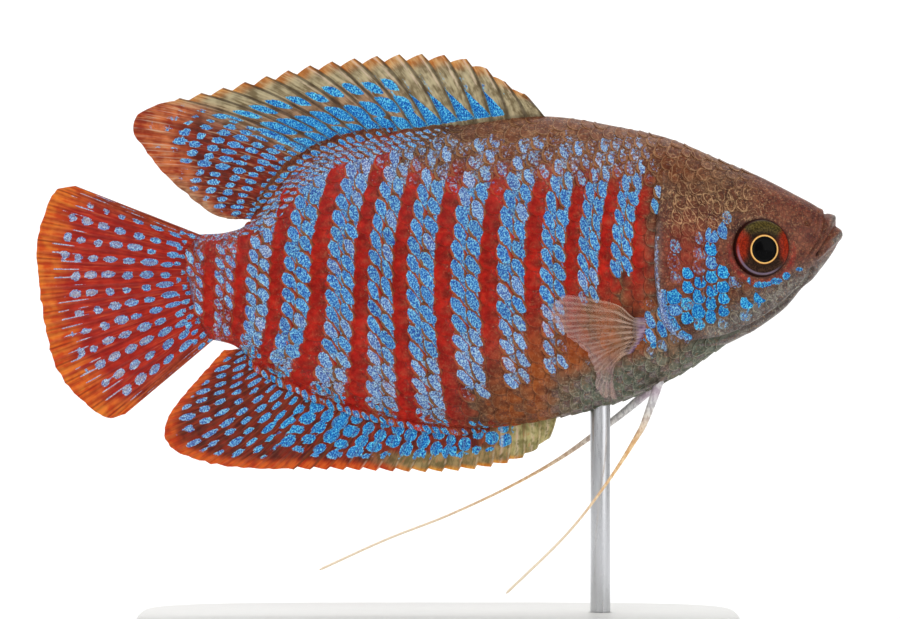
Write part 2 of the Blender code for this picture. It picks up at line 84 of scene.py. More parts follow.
class Recipe:
    """Adds nodes to one node tree."""

    def __init__(self, tree):
        self.tree = tree

    def node(self, kind, inputs=(), **settings):
        made = self.tree.nodes.new(kind)
        for name, value in settings.items():
            setattr(made, name, value)
        for name, value in dict(inputs).items():
            if isinstance(value, bpy.types.NodeSocket):
                self.tree.links.new(value, made.inputs[name])
            else:
                made.inputs[name].default_value = value
        return made

    def maths(self, operation, first, second=0.0, third=0.0, clamp=False):
        inputs = {0: first, 1: second}
        if operation == "MULTIPLY_ADD":
            inputs[2] = third
        return self.node("ShaderNodeMath", inputs, operation=operation, use_clamp=clamp).outputs[0]

    def times(self, first, second):
        return self.maths("MULTIPLY", first, second)

    def plus(self, first, second):
        return self.maths("ADD", first, second)

    def minus(self, first, second):
        return self.maths("SUBTRACT", first, second)

    def scaled(self, value, factor, more):
        """A value times a factor, with something more added."""
        return self.maths("MULTIPLY_ADD", value, factor, more)

    def most(self, first, second, clamp=False):
        return self.maths("MAXIMUM", first, second, clamp=clamp)

    def least(self, first, second):
        return self.maths("MINIMUM", first, second)

    def square(self, value):
        return self.maths("POWER", value, 2.0)

    def vectors(self, operation, *inputs):
        return self.node("ShaderNodeVectorMath", dict(enumerate(inputs)), operation=operation).outputs

    def ramp(self, value, low, high, to_low=0.0, to_high=1.0):
        """Smooth step from one value to another as the input goes from low to high."""
        made = self.node("ShaderNodeMapRange", {0: value, 1: low, 2: high, 3: to_low, 4: to_high},
                         interpolation_type="SMOOTHSTEP")
        return made.outputs[0]

    def mix(self, share, first, second):
        """The first colour where share is 0, the second where it is 1."""
        made = self.node("ShaderNodeMix", data_type="RGBA", blend_type="MIX", clamp_factor=True)
        for place, value in ((0, share), (6, first), (7, second)):
            if isinstance(value, bpy.types.NodeSocket):
                self.tree.links.new(value, made.inputs[place])
            else:
                made.inputs[place].default_value = value
        return made.outputs[2]

    def split(self, vector):
        return self.node("ShaderNodeSeparateXYZ", {0: vector}).outputs

    def attribute(self, name):
        return self.node("ShaderNodeAttribute", attribute_name=name).outputs

    def place(self, scale):
        """Object coordinates, so many units to the millimetre along each axis."""
        made = self.node("ShaderNodeTexCoord").outputs["Object"]
        per_metre = tuple(1000.0 * part for part in scale)
        return self.node("ShaderNodeMapping", {"Vector": made, "Scale": per_metre}).outputs[0]

    def noise(self, scale=(1.0, 1.0, 1.0), detail=2.0, rough=0.5, warp=0.0):
        vector = self.place(scale)
        inputs = {"Vector": vector, "Scale": 1.0, "Detail": detail, "Roughness": rough, "Distortion": warp}
        return self.node("ShaderNodeTexNoise", inputs).outputs[0]


print("a recipe adds nodes to one tree")


# %% Starting and feeding a finish
def new_finish(name, roughness, **values):
    """A material with its shader, and the recipe that adds nodes to it."""
    made = bpy.data.materials.new(name)
    made.use_nodes = True
    shader = made.node_tree.nodes["Principled BSDF"]
    shader.inputs["Roughness"].default_value = roughness
    for socket, value in values.items():
        shader.inputs[socket.replace("_", " ")].default_value = value
    return made, Recipe(made.node_tree), shader


def feed(recipe, shader, **sockets):
    for socket, value in sockets.items():
        recipe.tree.links.new(value, shader.inputs[socket.replace("_", " ")])


def bump(recipe, height, strength, distance_mm):
    inputs = {"Height": height, "Strength": strength, "Distance": distance_mm * MM}
    return recipe.node("ShaderNodeBump", inputs).outputs[0]


print("finishes can be started")

# %% [markdown]
# ## Floor, backdrop and light
# A museum photographs such a model on a pale sweep: floor and wall are one sheet with a round bend,
# so that no line crosses the picture. It is a plane whose far edge is extruded up and bevelled. Three
# large soft lamps, a fourth one for the wall and a bright surround leave hardly any shadow, as in the
# photograph.

# %% Pale sweep
FLOOR_HALF, WALL_HEIGHT, BEND_RADIUS = 1.6, 1.4, 0.6

bpy.ops.object.select_all(action="DESELECT")
bpy.ops.mesh.primitive_plane_add(size=2 * FLOOR_HALF)
sweep = bpy.context.object
sweep.name = "pale_sweep"
bpy.ops.object.mode_set(mode="EDIT")
bpy.ops.mesh.select_mode(type="EDGE")
bpy.ops.mesh.select_all(action="DESELECT")
bpy.ops.object.mode_set(mode="OBJECT")
for edge in sweep.data.edges:
    ends = [sweep.data.vertices[corner].co for corner in edge.vertices]
    edge.select = all(end.y > 0.9 * FLOOR_HALF for end in ends)
bpy.ops.object.mode_set(mode="EDIT")
bpy.ops.mesh.extrude_region_move(TRANSFORM_OT_translate={"value": (0, 0, WALL_HEIGHT)})
bpy.ops.object.mode_set(mode="OBJECT")
for edge in sweep.data.edges:
    ends = [sweep.data.vertices[corner].co for corner in edge.vertices]
    edge.select = all(end.y > 0.9 * FLOOR_HALF and end.z < 0.01 for end in ends)
bpy.ops.object.mode_set(mode="EDIT")
bpy.ops.mesh.bevel(offset=BEND_RADIUS, segments=24, affect="EDGES")
bpy.ops.object.mode_set(mode="OBJECT")
bpy.ops.object.shade_smooth()
sweep_finish, recipe, shader = new_finish("pale_paper", 0.8)
grain = recipe.noise((0.05, 0.05, 0.05))
feed(recipe, shader, Base_Color=recipe.mix(grain, tone(246, 246, 246), tone(250, 250, 250)))
sweep.data.materials.append(sweep_finish)
print("sweep:", len(sweep.data.polygons), "faces")

# %% Soft lamps
LAMPS = {
    "key": ((-0.25, -0.62, 0.62), 0.7, 3.0),
    "fill": ((0.65, -0.62, 0.25), 0.6, 1.5),
    "top": ((0.0, 0.15, 0.8), 0.6, 1.6),
    "wall": ((0.0, 0.62, 1.0), 1.4, 12.0),
}
LIT_PLACES = {"wall": (0.0, 1.5, 0.1)}
SURROUND = 0.42


def aim(lamp, target):
    away = np.array(lamp.location) - np.array(target)
    flat = math.hypot(away[0], away[1])
    lamp.rotation_euler = (math.atan2(flat, away[2]), 0.0, math.atan2(away[0], -away[1]))


for word, (place, size, power) in LAMPS.items():
    bpy.ops.object.light_add(type="AREA", location=place)
    lamp = bpy.context.object
    lamp.name = word + "_lamp"
    lamp.data.size = size
    lamp.data.energy = power
    aim(lamp, LIT_PLACES.get(word, CAMERA_AIM))
world = bpy.data.worlds.new("surround")
world.use_nodes = True
world.node_tree.nodes["Background"].inputs["Color"].default_value = (1.0, 1.0, 1.0, 1.0)
world.node_tree.nodes["Background"].inputs["Strength"].default_value = SURROUND
bpy.context.scene.world = world
print("lamps:", ", ".join(LAMPS))

# %% [markdown]
# ## The form of the body
# The solids were made from a few measured curves: the back, the belly, the width and how round each
# section is. The skin and every scale need the same form at many more places, so the curves stand
# here again. A place on the body is given by x and by a turn round its section: 0 on the belly, 1 on
# the right flank, 2 on the back and 3 on the left flank, with equal lengths of skin between.

# %% Curves of the body
BACK = [
    (-25.0, 40.8), (-23.6, 40.9), (-21.1, 41.1), (-19.4, 41.7), (-18.4, 42.5), (-15.0, 46.6),
    (-11.7, 48.8), (-6.0, 50.4), (0.0, 51.4), (5.0, 52.2), (10.3, 52.7), (18.2, 51.6), (23.0, 50.5),
    (28.5, 48.2), (33.1, 46.2), (35.8, 44.7), (38.2, 43.3), (39.2, 42.5), (39.8, 41.7), (40.2, 41.0),
]
BELLY = [
    (-25.0, 30.2), (-22.1, 30.0), (-20.2, 29.4), (-18.5, 27.9), (-14.2, 25.5), (-11.1, 24.2),
    (-6.4, 22.7), (-1.9, 21.8), (4.2, 21.3), (11.8, 22.3), (19.5, 24.4), (24.3, 26.7), (29.0, 29.8),
    (32.4, 31.7), (34.5, 33.3), (36.6, 35.6), (38.7, 37.9), (39.7, 39.4), (40.2, 40.4),
]
HALF_WIDTH = [
    (-25.0, 1.1), (-23.6, 1.4), (-18.0, 2.3), (-12.0, 3.3), (-6.0, 4.2), (0.0, 5.0), (6.0, 5.5),
    (12.0, 5.8), (17.0, 5.9), (22.0, 5.6), (27.0, 5.0), (32.4, 4.0), (35.0, 3.2), (37.5, 2.3),
    (39.0, 1.6), (39.8, 1.0), (40.2, 0.6),
]
RIDGE_POWER = [(-25.0, 0.55), (-10.0, 0.6), (10.0, 0.62), (24.0, 0.52), (40.2, 0.48)]
KEEL_POWER = [(-25.0, 0.55), (-10.0, 0.62), (10.0, 0.52), (24.0, 0.46), (40.2, 0.48)]
GILL_EDGE = [
    (-1.0, 29.0), (-0.86, 27.2), (-0.74, 25.0), (-0.62, 23.3), (-0.5, 22.3), (-0.3, 21.7),
    (0.16, 21.4), (0.5, 22.0), (1.0, 23.0),
]
GILL_LIFT, GILL_SLOPE, GILL_ROUND = 0.5, 7.5, 0.18
NOSE = 40.2
TAIL_ROOT_LOW, TAIL_ROOT_HIGH, TAIL_ROOT_BULGE = -22.3, -23.6, 1.1
SKIN_INSET = 0.12


def smooth(table, at):
    """The value at one or more places, read from a smooth curve through the table's points."""
    places, values = np.array(table, float).T
    slopes = np.gradient(values, places)
    at = np.clip(at, places[0], places[-1])
    i = np.clip(np.searchsorted(places, at) - 1, 0, len(places) - 2)
    step = places[i + 1] - places[i]
    u = (at - places[i]) / step
    start = values[i] * (1 + 2 * u) * (1 - u) ** 2 + slopes[i] * step * u * (1 - u) ** 2
    return start + values[i + 1] * u * u * (3 - 2 * u) + slopes[i + 1] * step * u * u * (u - 1)


def along(points, fractions):
    """Points at these fractions of the length of a smooth curve through the given points."""
    points = np.array(points, float)
    places = np.arange(len(points))
    fine = np.linspace(0, len(points) - 1, 40 * len(points))
    path = np.column_stack([smooth(list(zip(places, axis)), fine) for axis in points.T])
    length = np.concatenate([[0], np.cumsum(np.linalg.norm(np.diff(path, axis=0), axis=1))])
    wanted = np.array(fractions) * length[-1]
    return np.column_stack([np.interp(wanted, length, axis) for axis in path.T])


def step(value, low, high):
    """0 below low, 1 above high, and a smooth rise between."""
    share = np.clip((value - low) / (high - low), 0, 1)
    return share * share * (3 - 2 * share)


print("back and belly drawn through", len(BACK), "and", len(BELLY), "places")

# %% Points on the body
STATIONS = np.linspace(-25.0, NOSE, 164)
FINE_ANGLES = np.linspace(-math.pi / 2, math.pi / 2, 241)
TURNS = np.linspace(-1.0, 1.0, 121)


def section(x, angle, grow=0.0, lift=0.0):
    """Half width and height of the skin at an angle round the section, -90 degrees at the belly."""
    height = np.sin(angle)
    top, bottom = smooth(BACK, x), smooth(BELLY, x)
    power = np.where(height > 0, smooth(RIDGE_POWER, x), smooth(KEEL_POWER, x))
    snout = np.sqrt(1 - np.clip((x - 39.35) / 0.87, 0, 1) ** 2)
    half = (smooth(HALF_WIDTH, x) + grow + lift) * snout
    middle, reach = (top + bottom) / 2, (top - bottom) / 2 + grow
    return np.abs(np.cos(angle)) ** (2 * power) * half, middle + reach * height


def measure_sections():
    """For each station, the angle at equal lengths of skin above and below the middle of the flank."""
    angles, above, below = [], [], []
    middle = len(FINE_ANGLES) // 2
    for x in STATIONS:
        line = np.column_stack(section(np.full(len(FINE_ANGLES), x), FINE_ANGLES))
        length = np.concatenate([[0], np.cumsum(np.linalg.norm(np.diff(line, axis=0), axis=1))])
        length -= length[middle]
        turn = np.where(length > 0, length / length[-1], -length / length[0])
        angles.append(np.interp(TURNS, turn, FINE_ANGLES))
        above.append(length[-1])
        below.append(-length[0])
    return np.array(angles), np.array(above), np.array(below)


ANGLE_AT, LENGTH_ABOVE, LENGTH_BELOW = measure_sections()


def angle_at(x, turn):
    """Angle round the section for a turn from -1, belly, to 1, back."""
    column = np.clip((x - STATIONS[0]) / (STATIONS[1] - STATIONS[0]), 0, len(STATIONS) - 1.001)
    row = np.clip((turn + 1) / (TURNS[1] - TURNS[0]), 0, len(TURNS) - 1.001)
    i, j = column.astype(int), row.astype(int)
    u, v = column - i, row - j
    low = ANGLE_AT[i, j] * (1 - v) + ANGLE_AT[i, j + 1] * v
    return low * (1 - u) + (ANGLE_AT[i + 1, j] * (1 - v) + ANGLE_AT[i + 1, j + 1] * v) * u


def gill_edge(angle):
    return smooth(GILL_EDGE, np.sin(angle))


def gill_lift(x, angle):
    """How far the gill cover stands proud: full at its rear edge, fading forwards and up."""
    forward = x - gill_edge(angle)
    height = np.sin(angle)
    window = np.clip((height + 1) / 0.12, 0, 1) * np.clip((0.72 - height) / 0.25, 0, 1)
    rim = 0.6 + 0.4 * step(forward, 0.0, GILL_ROUND)
    fade = (1 - np.clip(forward / GILL_SLOPE, 0, 1)) ** 2
    return np.where(forward < -1e-6, 0.0, GILL_LIFT * fade * window * rim)


def body(x, ring, grow=0.0, lifted=True):
    """Points of the body: ring is 0 on the belly, 1 right, 2 on the back, 3 left."""
    ring = np.mod(ring, 4)
    turn = 1 - np.abs(ring - 2)
    side = np.where(ring < 2, -1.0, 1.0)
    angle = angle_at(x, turn)
    lift = gill_lift(x, angle) if lifted else 0.0
    half, z = section(x, angle, grow, lift)
    return np.column_stack([x, side * half, z])


def facing(x, ring, grow=0.0, lifted=True):
    """Outward directions of the body at these places."""
    small = 0.05
    ahead = body(x + small, ring, grow, lifted) - body(x - small, ring, grow, lifted)
    round_it = body(x, ring + 0.01, grow, lifted) - body(x, ring - 0.01, grow, lifted)
    out = np.cross(ahead, round_it)
    return out / np.maximum(np.linalg.norm(out, axis=1, keepdims=True), 1e-12)


def half_width_at(x, z):
    """Half width of the body at a place in side view."""
    top, bottom = smooth(BACK, x), smooth(BELLY, x)
    height = np.clip((z - (top + bottom) / 2) / ((top - bottom) / 2), -1, 1)
    power = np.where(height > 0, smooth(RIDGE_POWER, x), smooth(KEEL_POWER, x))
    return smooth(HALF_WIDTH, x) * (1 - height**2) ** power


print("skin round the deepest section:", round(float(2 * (LENGTH_ABOVE + LENGTH_BELOW).max()), 1), "mm")

# %% [markdown]
# ## The rows of scales
# Scales stand in columns round the fish and in rows along it. Each pair of blue columns and the red
# column in front of it make one bar, so the columns lie where the bars do: they lean forward near
# the back and bend at the belly. A scale's place is a column number and a row number. The bars
# below give the columns, three to a bar, and the height of a row is read from a second table.

# %% Columns and rows
BAR_MIDDLE = [
    (-3, -30.3), (-2, -27.3), (-1, -24.3), (0, -21.3), (1, -18.0), (2, -14.1), (3, -9.6), (4, -5.7),
    (5, -1.8), (6, 2.7), (7, 7.2), (8, 11.4), (9, 14.9), (10, 18.1), (11, 21.6), (12, 25.2), (13, 28.8),
    (14, 32.4), (15, 36.0), (16, 39.6), (17, 43.2),
]
BAR_LEAN_LOW = [
    (-3, -0.5), (0, -0.5), (1, -1.2), (2, -2.4), (3, -1.4), (4, 0.2), (5, 1.5), (6, 1.7), (7, 1.6),
    (8, 0.8), (9, 0.5), (17, 0.3),
]
BAR_LEAN_HIGH = [(-3, 0.3), (0, 0.4), (1, 1.0), (2, 2.5), (3, 2.7), (17, 2.7)]
ROW_HEIGHT = [
    (-25.0, 1.4), (-18.0, 1.45), (-8.0, 1.66), (2.0, 1.82), (14.0, 1.8), (22.0, 1.6), (30.0, 1.3),
    (40.2, 1.2),
]
ROW_SHIFT = 0.2


def bar_lean(bar, height):
    high = smooth(BAR_LEAN_HIGH, bar) * np.clip(height, 0, 1) ** 2
    return high + smooth(BAR_LEAN_LOW, bar) * np.clip(-height, 0, 1) ** 2


def column_of(x, height):
    """The column number at a place, from x and the height in the section, -1 to 1."""
    bars, places = np.array(BAR_MIDDLE, float).T
    bar = np.interp(x, places, bars)
    for _ in range(4):
        bar = np.interp(x - bar_lean(bar, height), places, bars)
    return 3 * bar


def flank_length(x, upper):
    """Length of skin from the middle of the flank to the back, or else to the belly."""
    return np.where(upper, np.interp(x, STATIONS, LENGTH_ABOVE), np.interp(x, STATIONS, LENGTH_BELOW))


def place_of(column, row):
    """x and turn at these column and row numbers."""
    bar = column / 3
    x = smooth(BAR_MIDDLE, bar)
    turn = np.zeros_like(x)
    for _ in range(8):
        turn = row * smooth(ROW_HEIGHT, x) / flank_length(x, row > 0)
        height = np.sin(angle_at(x, np.clip(turn, -1, 1)))
        x = smooth(BAR_MIDDLE, bar) + bar_lean(bar, height)
    return x, turn


print("columns from", round(float(column_of(-22.0, 0.0))), "to", round(float(column_of(36.0, 0.0))))

# %% [markdown]
# ## Markings
# Skin and scales carry the same markings. Functions of the place give how red, grey, ochre or blue it
# is, and store that as two colour layers on the mesh, `zones` and `marks`. One node group, used by
# both finishes, turns the layers into colour. The bars follow the columns of scales.

# %% Where each colour lies
CHEEK_BLUE = [
    (22.3, 34.6, 0.55, 0.65), (23.7, 35.1, 0.65, 0.75), (23.6, 33.8, 0.65, 0.55), (24.7, 35.0, 0.6, 0.7),
    (25.3, 36.4, 0.7, 0.55), (26.0, 36.0, 0.55, 0.8), (25.5, 34.3, 0.8, 0.7), (24.7, 32.7, 0.7, 0.7),
    (25.9, 32.7, 0.6, 0.85), (22.5, 33.0, 0.85, 0.85), (23.5, 32.0, 0.7, 0.6), (24.6, 31.1, 0.7, 0.5),
    (26.8, 40.2, 0.5, 0.85), (26.8, 38.8, 0.65, 0.65), (26.2, 37.8, 0.7, 0.42), (27.2, 37.2, 0.65, 1.0),
    (27.4, 35.7, 0.75, 1.0), (27.8, 33.8, 0.75, 0.85), (27.6, 32.2, 0.65, 0.5), (28.6, 37.9, 0.6, 0.85),
    (28.4, 36.5, 0.4, 0.5), (28.7, 39.8, 0.45, 1.5), (28.0, 40.0, 0.3, 0.5), (25.3, 39.5, 0.25, 0.3),
    (30.8, 36.1, 0.2, 0.55), (31.8, 35.8, 0.5, 0.45), (32.6, 36.0, 0.5, 0.25), (33.6, 36.3, 0.6, 0.3),
    (34.6, 36.8, 0.4, 0.35), (35.9, 37.5, 0.35, 0.17), (31.7, 34.1, 0.35, 0.35), (30.7, 33.6, 0.2, 0.5),
    (29.6, 35.5, 0.25, 0.3), (23.7, 38.6, 0.3, 0.5), (21.6, 31.2, 1.0, 0.9), (21.0, 30.2, 0.85, 0.6),
]


def bump_of(value, centre, half):
    return np.exp(-(((value - centre) / half) ** 2))


def bar_phase(column):
    """Place across a bar: 0 in the middle of its red column, from -1.5, the front, to 1.5."""
    return 1.5 - np.mod(column, 3)


def red_of(x, z, height):
    """How far up and down the red bars reach."""
    below_back = step(z, 49.2 - 0.03 * x, 45.8 - 0.1 * np.clip(x, 0, 20))
    top = np.where(x < -3, step(height, 1.02, 0.9), below_back)
    low_front = step(z - 0.3 * (x - 8), 25.0, 32.0)
    low = np.where(x > -1, np.maximum(low_front, step(x, 6.0, -1.0)), 1.0)
    return top * low


def zones_of(x, z, height, column):
    """Layer zones: red of a bar, grey of the underside, ochre, and gilt squiggles."""
    phase = bar_phase(column)
    inside_bar = step(phase, 0.84, 0.62) * step(phase, -0.92, -0.68)
    flank = step(x, 20.8, 20.2)
    low_front = step(z - 0.25 * (x - 10), 35.5, 30.5) * step(x, 3.0, 9.0) * step(x, 22.5, 20.0)
    red = inside_bar * red_of(x, z, height) * flank * (1 - 0.55 * low_front)
    red = np.maximum(red, 0.62 * step(x, -19.5, -21.0))
    cheek = bump_of(x, 24.6, 3.4) * bump_of(z, 38.4, 3.6) * step(x, 20.8, 21.6)
    eye_ring = bump_of(np.hypot(x - 32.1, z - 39.3), 3.2, 0.4) * step(z, 41.5, 38.5)
    snout = 0.16 * step(x, 28.0, 34.0) * step(z, 35.0, 38.0)
    red = np.maximum(red, np.maximum(snout, np.maximum(0.5 * cheek, 0.6 * eye_ring)))
    chin_line = 34.6 + 0.62 * (x - 31.0) - 1.2 * step(x, 27.0, 23.0)
    grey_head = step(z, chin_line + 1.0, chin_line - 1.4) * step(x, 21.0, 23.5)
    belly_line = 26.2 + 0.3 * (x - 12.0)
    grey_belly = step(z, belly_line + 1.6, belly_line - 1.2) * step(x, 8.0, 15.0) * step(x, 24.0, 21.5)
    grey = np.maximum(grey_head, grey_belly)
    behind_gill = step(x, 20.6, 21.2) * step(x, 22.4, 21.8) * step(z, 43.0, 41.0) * step(z, 30.0, 33.0)
    grey = np.maximum(grey, 0.5 * behind_gill)
    band = bump_of(phase, 0.84, 0.14) * flank * step(z, 48.0, 45.0)
    ochre = np.maximum(0.8 * band, low_front * (0.3 + 0.7 * inside_bar))
    ochre = np.maximum(ochre, 0.25 * step(z, 44.5, 47.5) * step(x, -1.0, 6.0) * step(x, 31.0, 24.0))
    nape = 0.9 * step(z, 40.0, 41.6) * step(z, 46.6, 44.4) * step(x, 20.4, 22.0) * step(x, 35.5, 31.0)
    brow = bump_of(x, 32.2, 1.6) * bump_of(z, 42.7, 0.5) + bump_of(np.hypot(x - 29.8, z - 42.4), 0, 0.9)
    back = 0.55 * step(z, 45.0, 47.0) * step(x, -8.0, 0.0)
    gilt = np.maximum(np.maximum(nape, brow), np.maximum(back, np.maximum(0.95 * grey, 0.24)))
    return np.column_stack([red * (1 - grey), grey, ochre * (1 - red), np.clip(gilt, 0, 1)])


print("markings follow", len(BAR_MIDDLE), "bar lines")


# %% Where blue lies
def cheek_blue(x, z, widest=1.35):
    """The bright scales of the cheek, each an oval of its own."""
    cover = np.zeros_like(x)
    for centre_x, centre_z, half_x, half_z in CHEEK_BLUE:
        reach = ((x - centre_x) / half_x) ** 2 + ((z - centre_z) / half_z) ** 2
        cover = np.maximum(cover, step(reach, widest, 0.6 * widest))
    return cover * step(x, 19.9, 20.2)


def blue_of(x, z, height, column):
    """How blue a place is, and how far its blue turns to violet."""
    pair = step(np.abs(bar_phase(column)), 0.5, 0.75) * (1 - 0.1 * step(bar_phase(column), 0.4, 0.8))
    top = np.where(x < -4, step(height, 1.0, 0.86), step(z, 48.6, 45.0 - 0.02 * x))
    foot = np.where(x > 2, 31.0 + 0.3 * np.clip(x - 2, 0, 20), 29.0)
    least = 0.64 - 0.08 * step(x, 3.0, 6.0) - 0.12 * step(x, 12.5, 14.5)
    low = least + (1 - least) * step(z, foot - 1.5, foot + 1.0)
    front_foot = 24.0 + 0.3 * np.clip(x - 6, 0, 20)
    low *= np.where(x > 2, step(z, front_foot, front_foot + 1.5), 1.0)
    low *= 1 - step(x, 15.5, 17.5) * step(z, 37.2, 35.6)
    low *= 1 - 0.42 * step(x, 11.6, 12.8) * step(z, 35.2, 34.4) * step(z, 28.0, 29.5)
    front = np.where(z > 43.2, 0.62 * step(x, 23.4, 22.6) + 0.38 * step(x, 20.4, 19.8), step(x, 20.4, 19.8))
    tail = 1 - 0.28 * step(x, -15.0, -18.0) - 0.22 * step(x, -19.5, -21.0)
    blue = pair * top * low * front * tail
    back = 0.5 * step(z, 43.5, 46.5) * step(z, 52.0, 50.0) * step(x, -8.0, -5.0) * step(x, 26.0, 20.0)
    ridge_row = 0.5 * step(height, 0.8, 0.9) * step(x, 2.0, -4.0)
    blue = np.maximum(blue, np.maximum(back * (0.84 + 0.16 * pair), ridge_row))
    violet = 0.3 + 0.46 * np.maximum(step(z, 44.5, 47.5), 0.9 * step(z, foot + 1.0, foot - 2.0))
    violet = np.maximum(violet, 0.55 * step(x, -12.0, -17.0))
    return blue, np.clip(violet, 0, 1)


print("blue on", len(CHEEK_BLUE), "places of the cheek and on the pairs of columns between the bars")

# %% [markdown]
# Blue itself is made of fine specks, brighter and dimmer, that turn from cyan to a dull violet. Each
# scale of the flank also has its own rim, the shade of the scales that lie over it, and one oval that
# holds its blue. These are node groups, because skin, scales and fins share them.

# %% Blue glints
def group_sockets(group, given, made):
    for direction, sockets in (("INPUT", given), ("OUTPUT", made)):
        for name, kind in sockets:
            group.interface.new_socket(name=name, in_out=direction, socket_type="NodeSocket" + kind)


def build_glints():
    """Blue pigment as fine specks: how much and how violet goes in, colour and cover come out."""
    group = bpy.data.node_groups.new("blue_glints", "ShaderNodeTree")
    group_sockets(group, [("Amount", "Float"), ("Violet", "Float")],
                  [("Color", "Color"), ("Cover", "Float"), ("Speck", "Float")])
    recipe = Recipe(group)
    given = recipe.node("NodeGroupInput").outputs
    fine = recipe.noise((4.0, 4.0, 3.2), 2.0, 0.6)
    speck = recipe.noise((8.0, 8.0, 6.0), 2.0, 0.6, 0.2)
    worn = recipe.scaled(recipe.minus(fine, 0.5), 0.5, given["Amount"])
    cover = recipe.ramp(worn, 0.34, 0.5)
    bright = recipe.scaled(given["Amount"], -0.1, recipe.plus(speck, 0.2))
    cyan = recipe.mix(recipe.ramp(bright, 0.5, 0.6), tone(10, 62, 156), tone(10, 132, 206))
    cyan = recipe.mix(recipe.ramp(bright, 0.62, 0.78), cyan, tone(112, 222, 242))
    lilac = recipe.mix(recipe.ramp(bright, 0.46, 0.6), tone(76, 70, 126), tone(104, 130, 190))
    lilac = recipe.mix(recipe.ramp(bright, 0.6, 0.74), lilac, tone(194, 212, 230))
    blue = recipe.mix(given["Violet"], cyan, lilac)
    recipe.node("NodeGroupOutput", {"Color": blue, "Cover": cover, "Speck": speck})
    return group


GLINTS = build_glints()


def grouped(recipe, group, **inputs):
    """Places a group in a graph, fed with links or values, and returns its outputs."""
    made = recipe.node("ShaderNodeGroup", node_tree=group)
    for name, value in inputs.items():
        if isinstance(value, bpy.types.NodeSocket):
            recipe.tree.links.new(value, made.inputs[name])
        else:
            made.inputs[name].default_value = value
    return made.outputs


print("glints group:", len(GLINTS.nodes), "nodes")

# %% The edges of one scale
DISC_FRONT, DISC_UP, DISC_SLIMNESS = 0.45, 0.17, 1.28


def build_edges():
    """From the place on a scale: its own rim, the shade of the scales that cover it, its blue oval."""
    group = bpy.data.node_groups.new("scale_edges", "ShaderNodeTree")
    group_sockets(group, [("Cell", "Vector")],
                  [(name, "Float") for name in ("Rim", "Shade", "Oval", "Gap", "Turns")])
    recipe = Recipe(group)
    ahead, up, _ = recipe.split(recipe.node("NodeGroupInput").outputs["Cell"])

    def disc(columns, rows):
        """Squared distance from the middle of the scale that stands so many columns and rows away."""
        first = recipe.square(recipe.minus(ahead, DISC_FRONT + columns))
        second = recipe.square(recipe.times(recipe.minus(up, DISC_UP + rows), DISC_SLIMNESS))
        return recipe.plus(first, second)

    rim = recipe.ramp(disc(0, 0), 0.84, 0.99)
    nearest = recipe.least(disc(1, 0), recipe.least(disc(1, -1), disc(0, 1)))
    shade = recipe.ramp(nearest, 1.5, 1.0)
    narrow = recipe.scaled(ahead, 3.05, recipe.times(up, 1.92))
    long = recipe.scaled(ahead, 0.3, recipe.times(up, -1.42))
    oval = recipe.plus(recipe.square(recipe.plus(narrow, 0.2)), recipe.square(recipe.minus(long, 0.05)))
    gap = recipe.most(recipe.ramp(nearest, 1.17, 1.03), recipe.ramp(disc(0, 0), 0.89, 0.98))
    wander = recipe.scaled(recipe.noise((0.9, 0.9, 0.9)), 9.0, recipe.times(oval, 4.2))
    turns = recipe.ramp(recipe.maths("SINE", wander), 0.72, 0.96)
    recipe.node("NodeGroupOutput", {"Rim": rim, "Shade": shade, "Oval": oval, "Gap": gap, "Turns": turns})
    return group


EDGES = build_edges()
print("edges group:", len(EDGES.nodes), "nodes")


# %% The group that turns the layers into colour
def paint_ground(recipe, zones, headlike, fine):
    """Flesh colour: brown, with ochre, the grey of the underside and the red of the bars over it."""
    red, grey, ochre = zones
    mottle = recipe.ramp(recipe.noise((1.3, 1.3, 1.3), 3.0, 0.6), 0.3, 0.7)
    broad = recipe.ramp(recipe.noise((0.42, 0.42, 0.42), 3.0, 0.6, 0.5), 0.36, 0.64)

    def mottled(dark, light):
        return recipe.mix(mottle, tone(*dark), tone(*light))

    brown = recipe.mix(broad, mottled((62, 34, 26), (92, 56, 42)), mottled((84, 56, 40), (118, 84, 62)))
    ground = recipe.mix(ochre, brown, mottled((134, 56, 12), (176, 92, 34)))
    green = mottled((62, 70, 59), (108, 114, 99))
    ground = recipe.mix(grey, ground, recipe.mix(headlike, green, mottled((80, 72, 70), (124, 117, 113))))
    blood = recipe.mix(broad, mottled((130, 8, 5), (176, 24, 16)), mottled((152, 15, 8), (198, 36, 22)))
    ground = recipe.mix(red, ground, blood)
    flecks = recipe.times(recipe.ramp(fine, 0.5, 0.75), recipe.ramp(red, 0.1, 1.0, 0.3, 0.08))
    return recipe.mix(flecks, ground, tone(190, 116, 74))


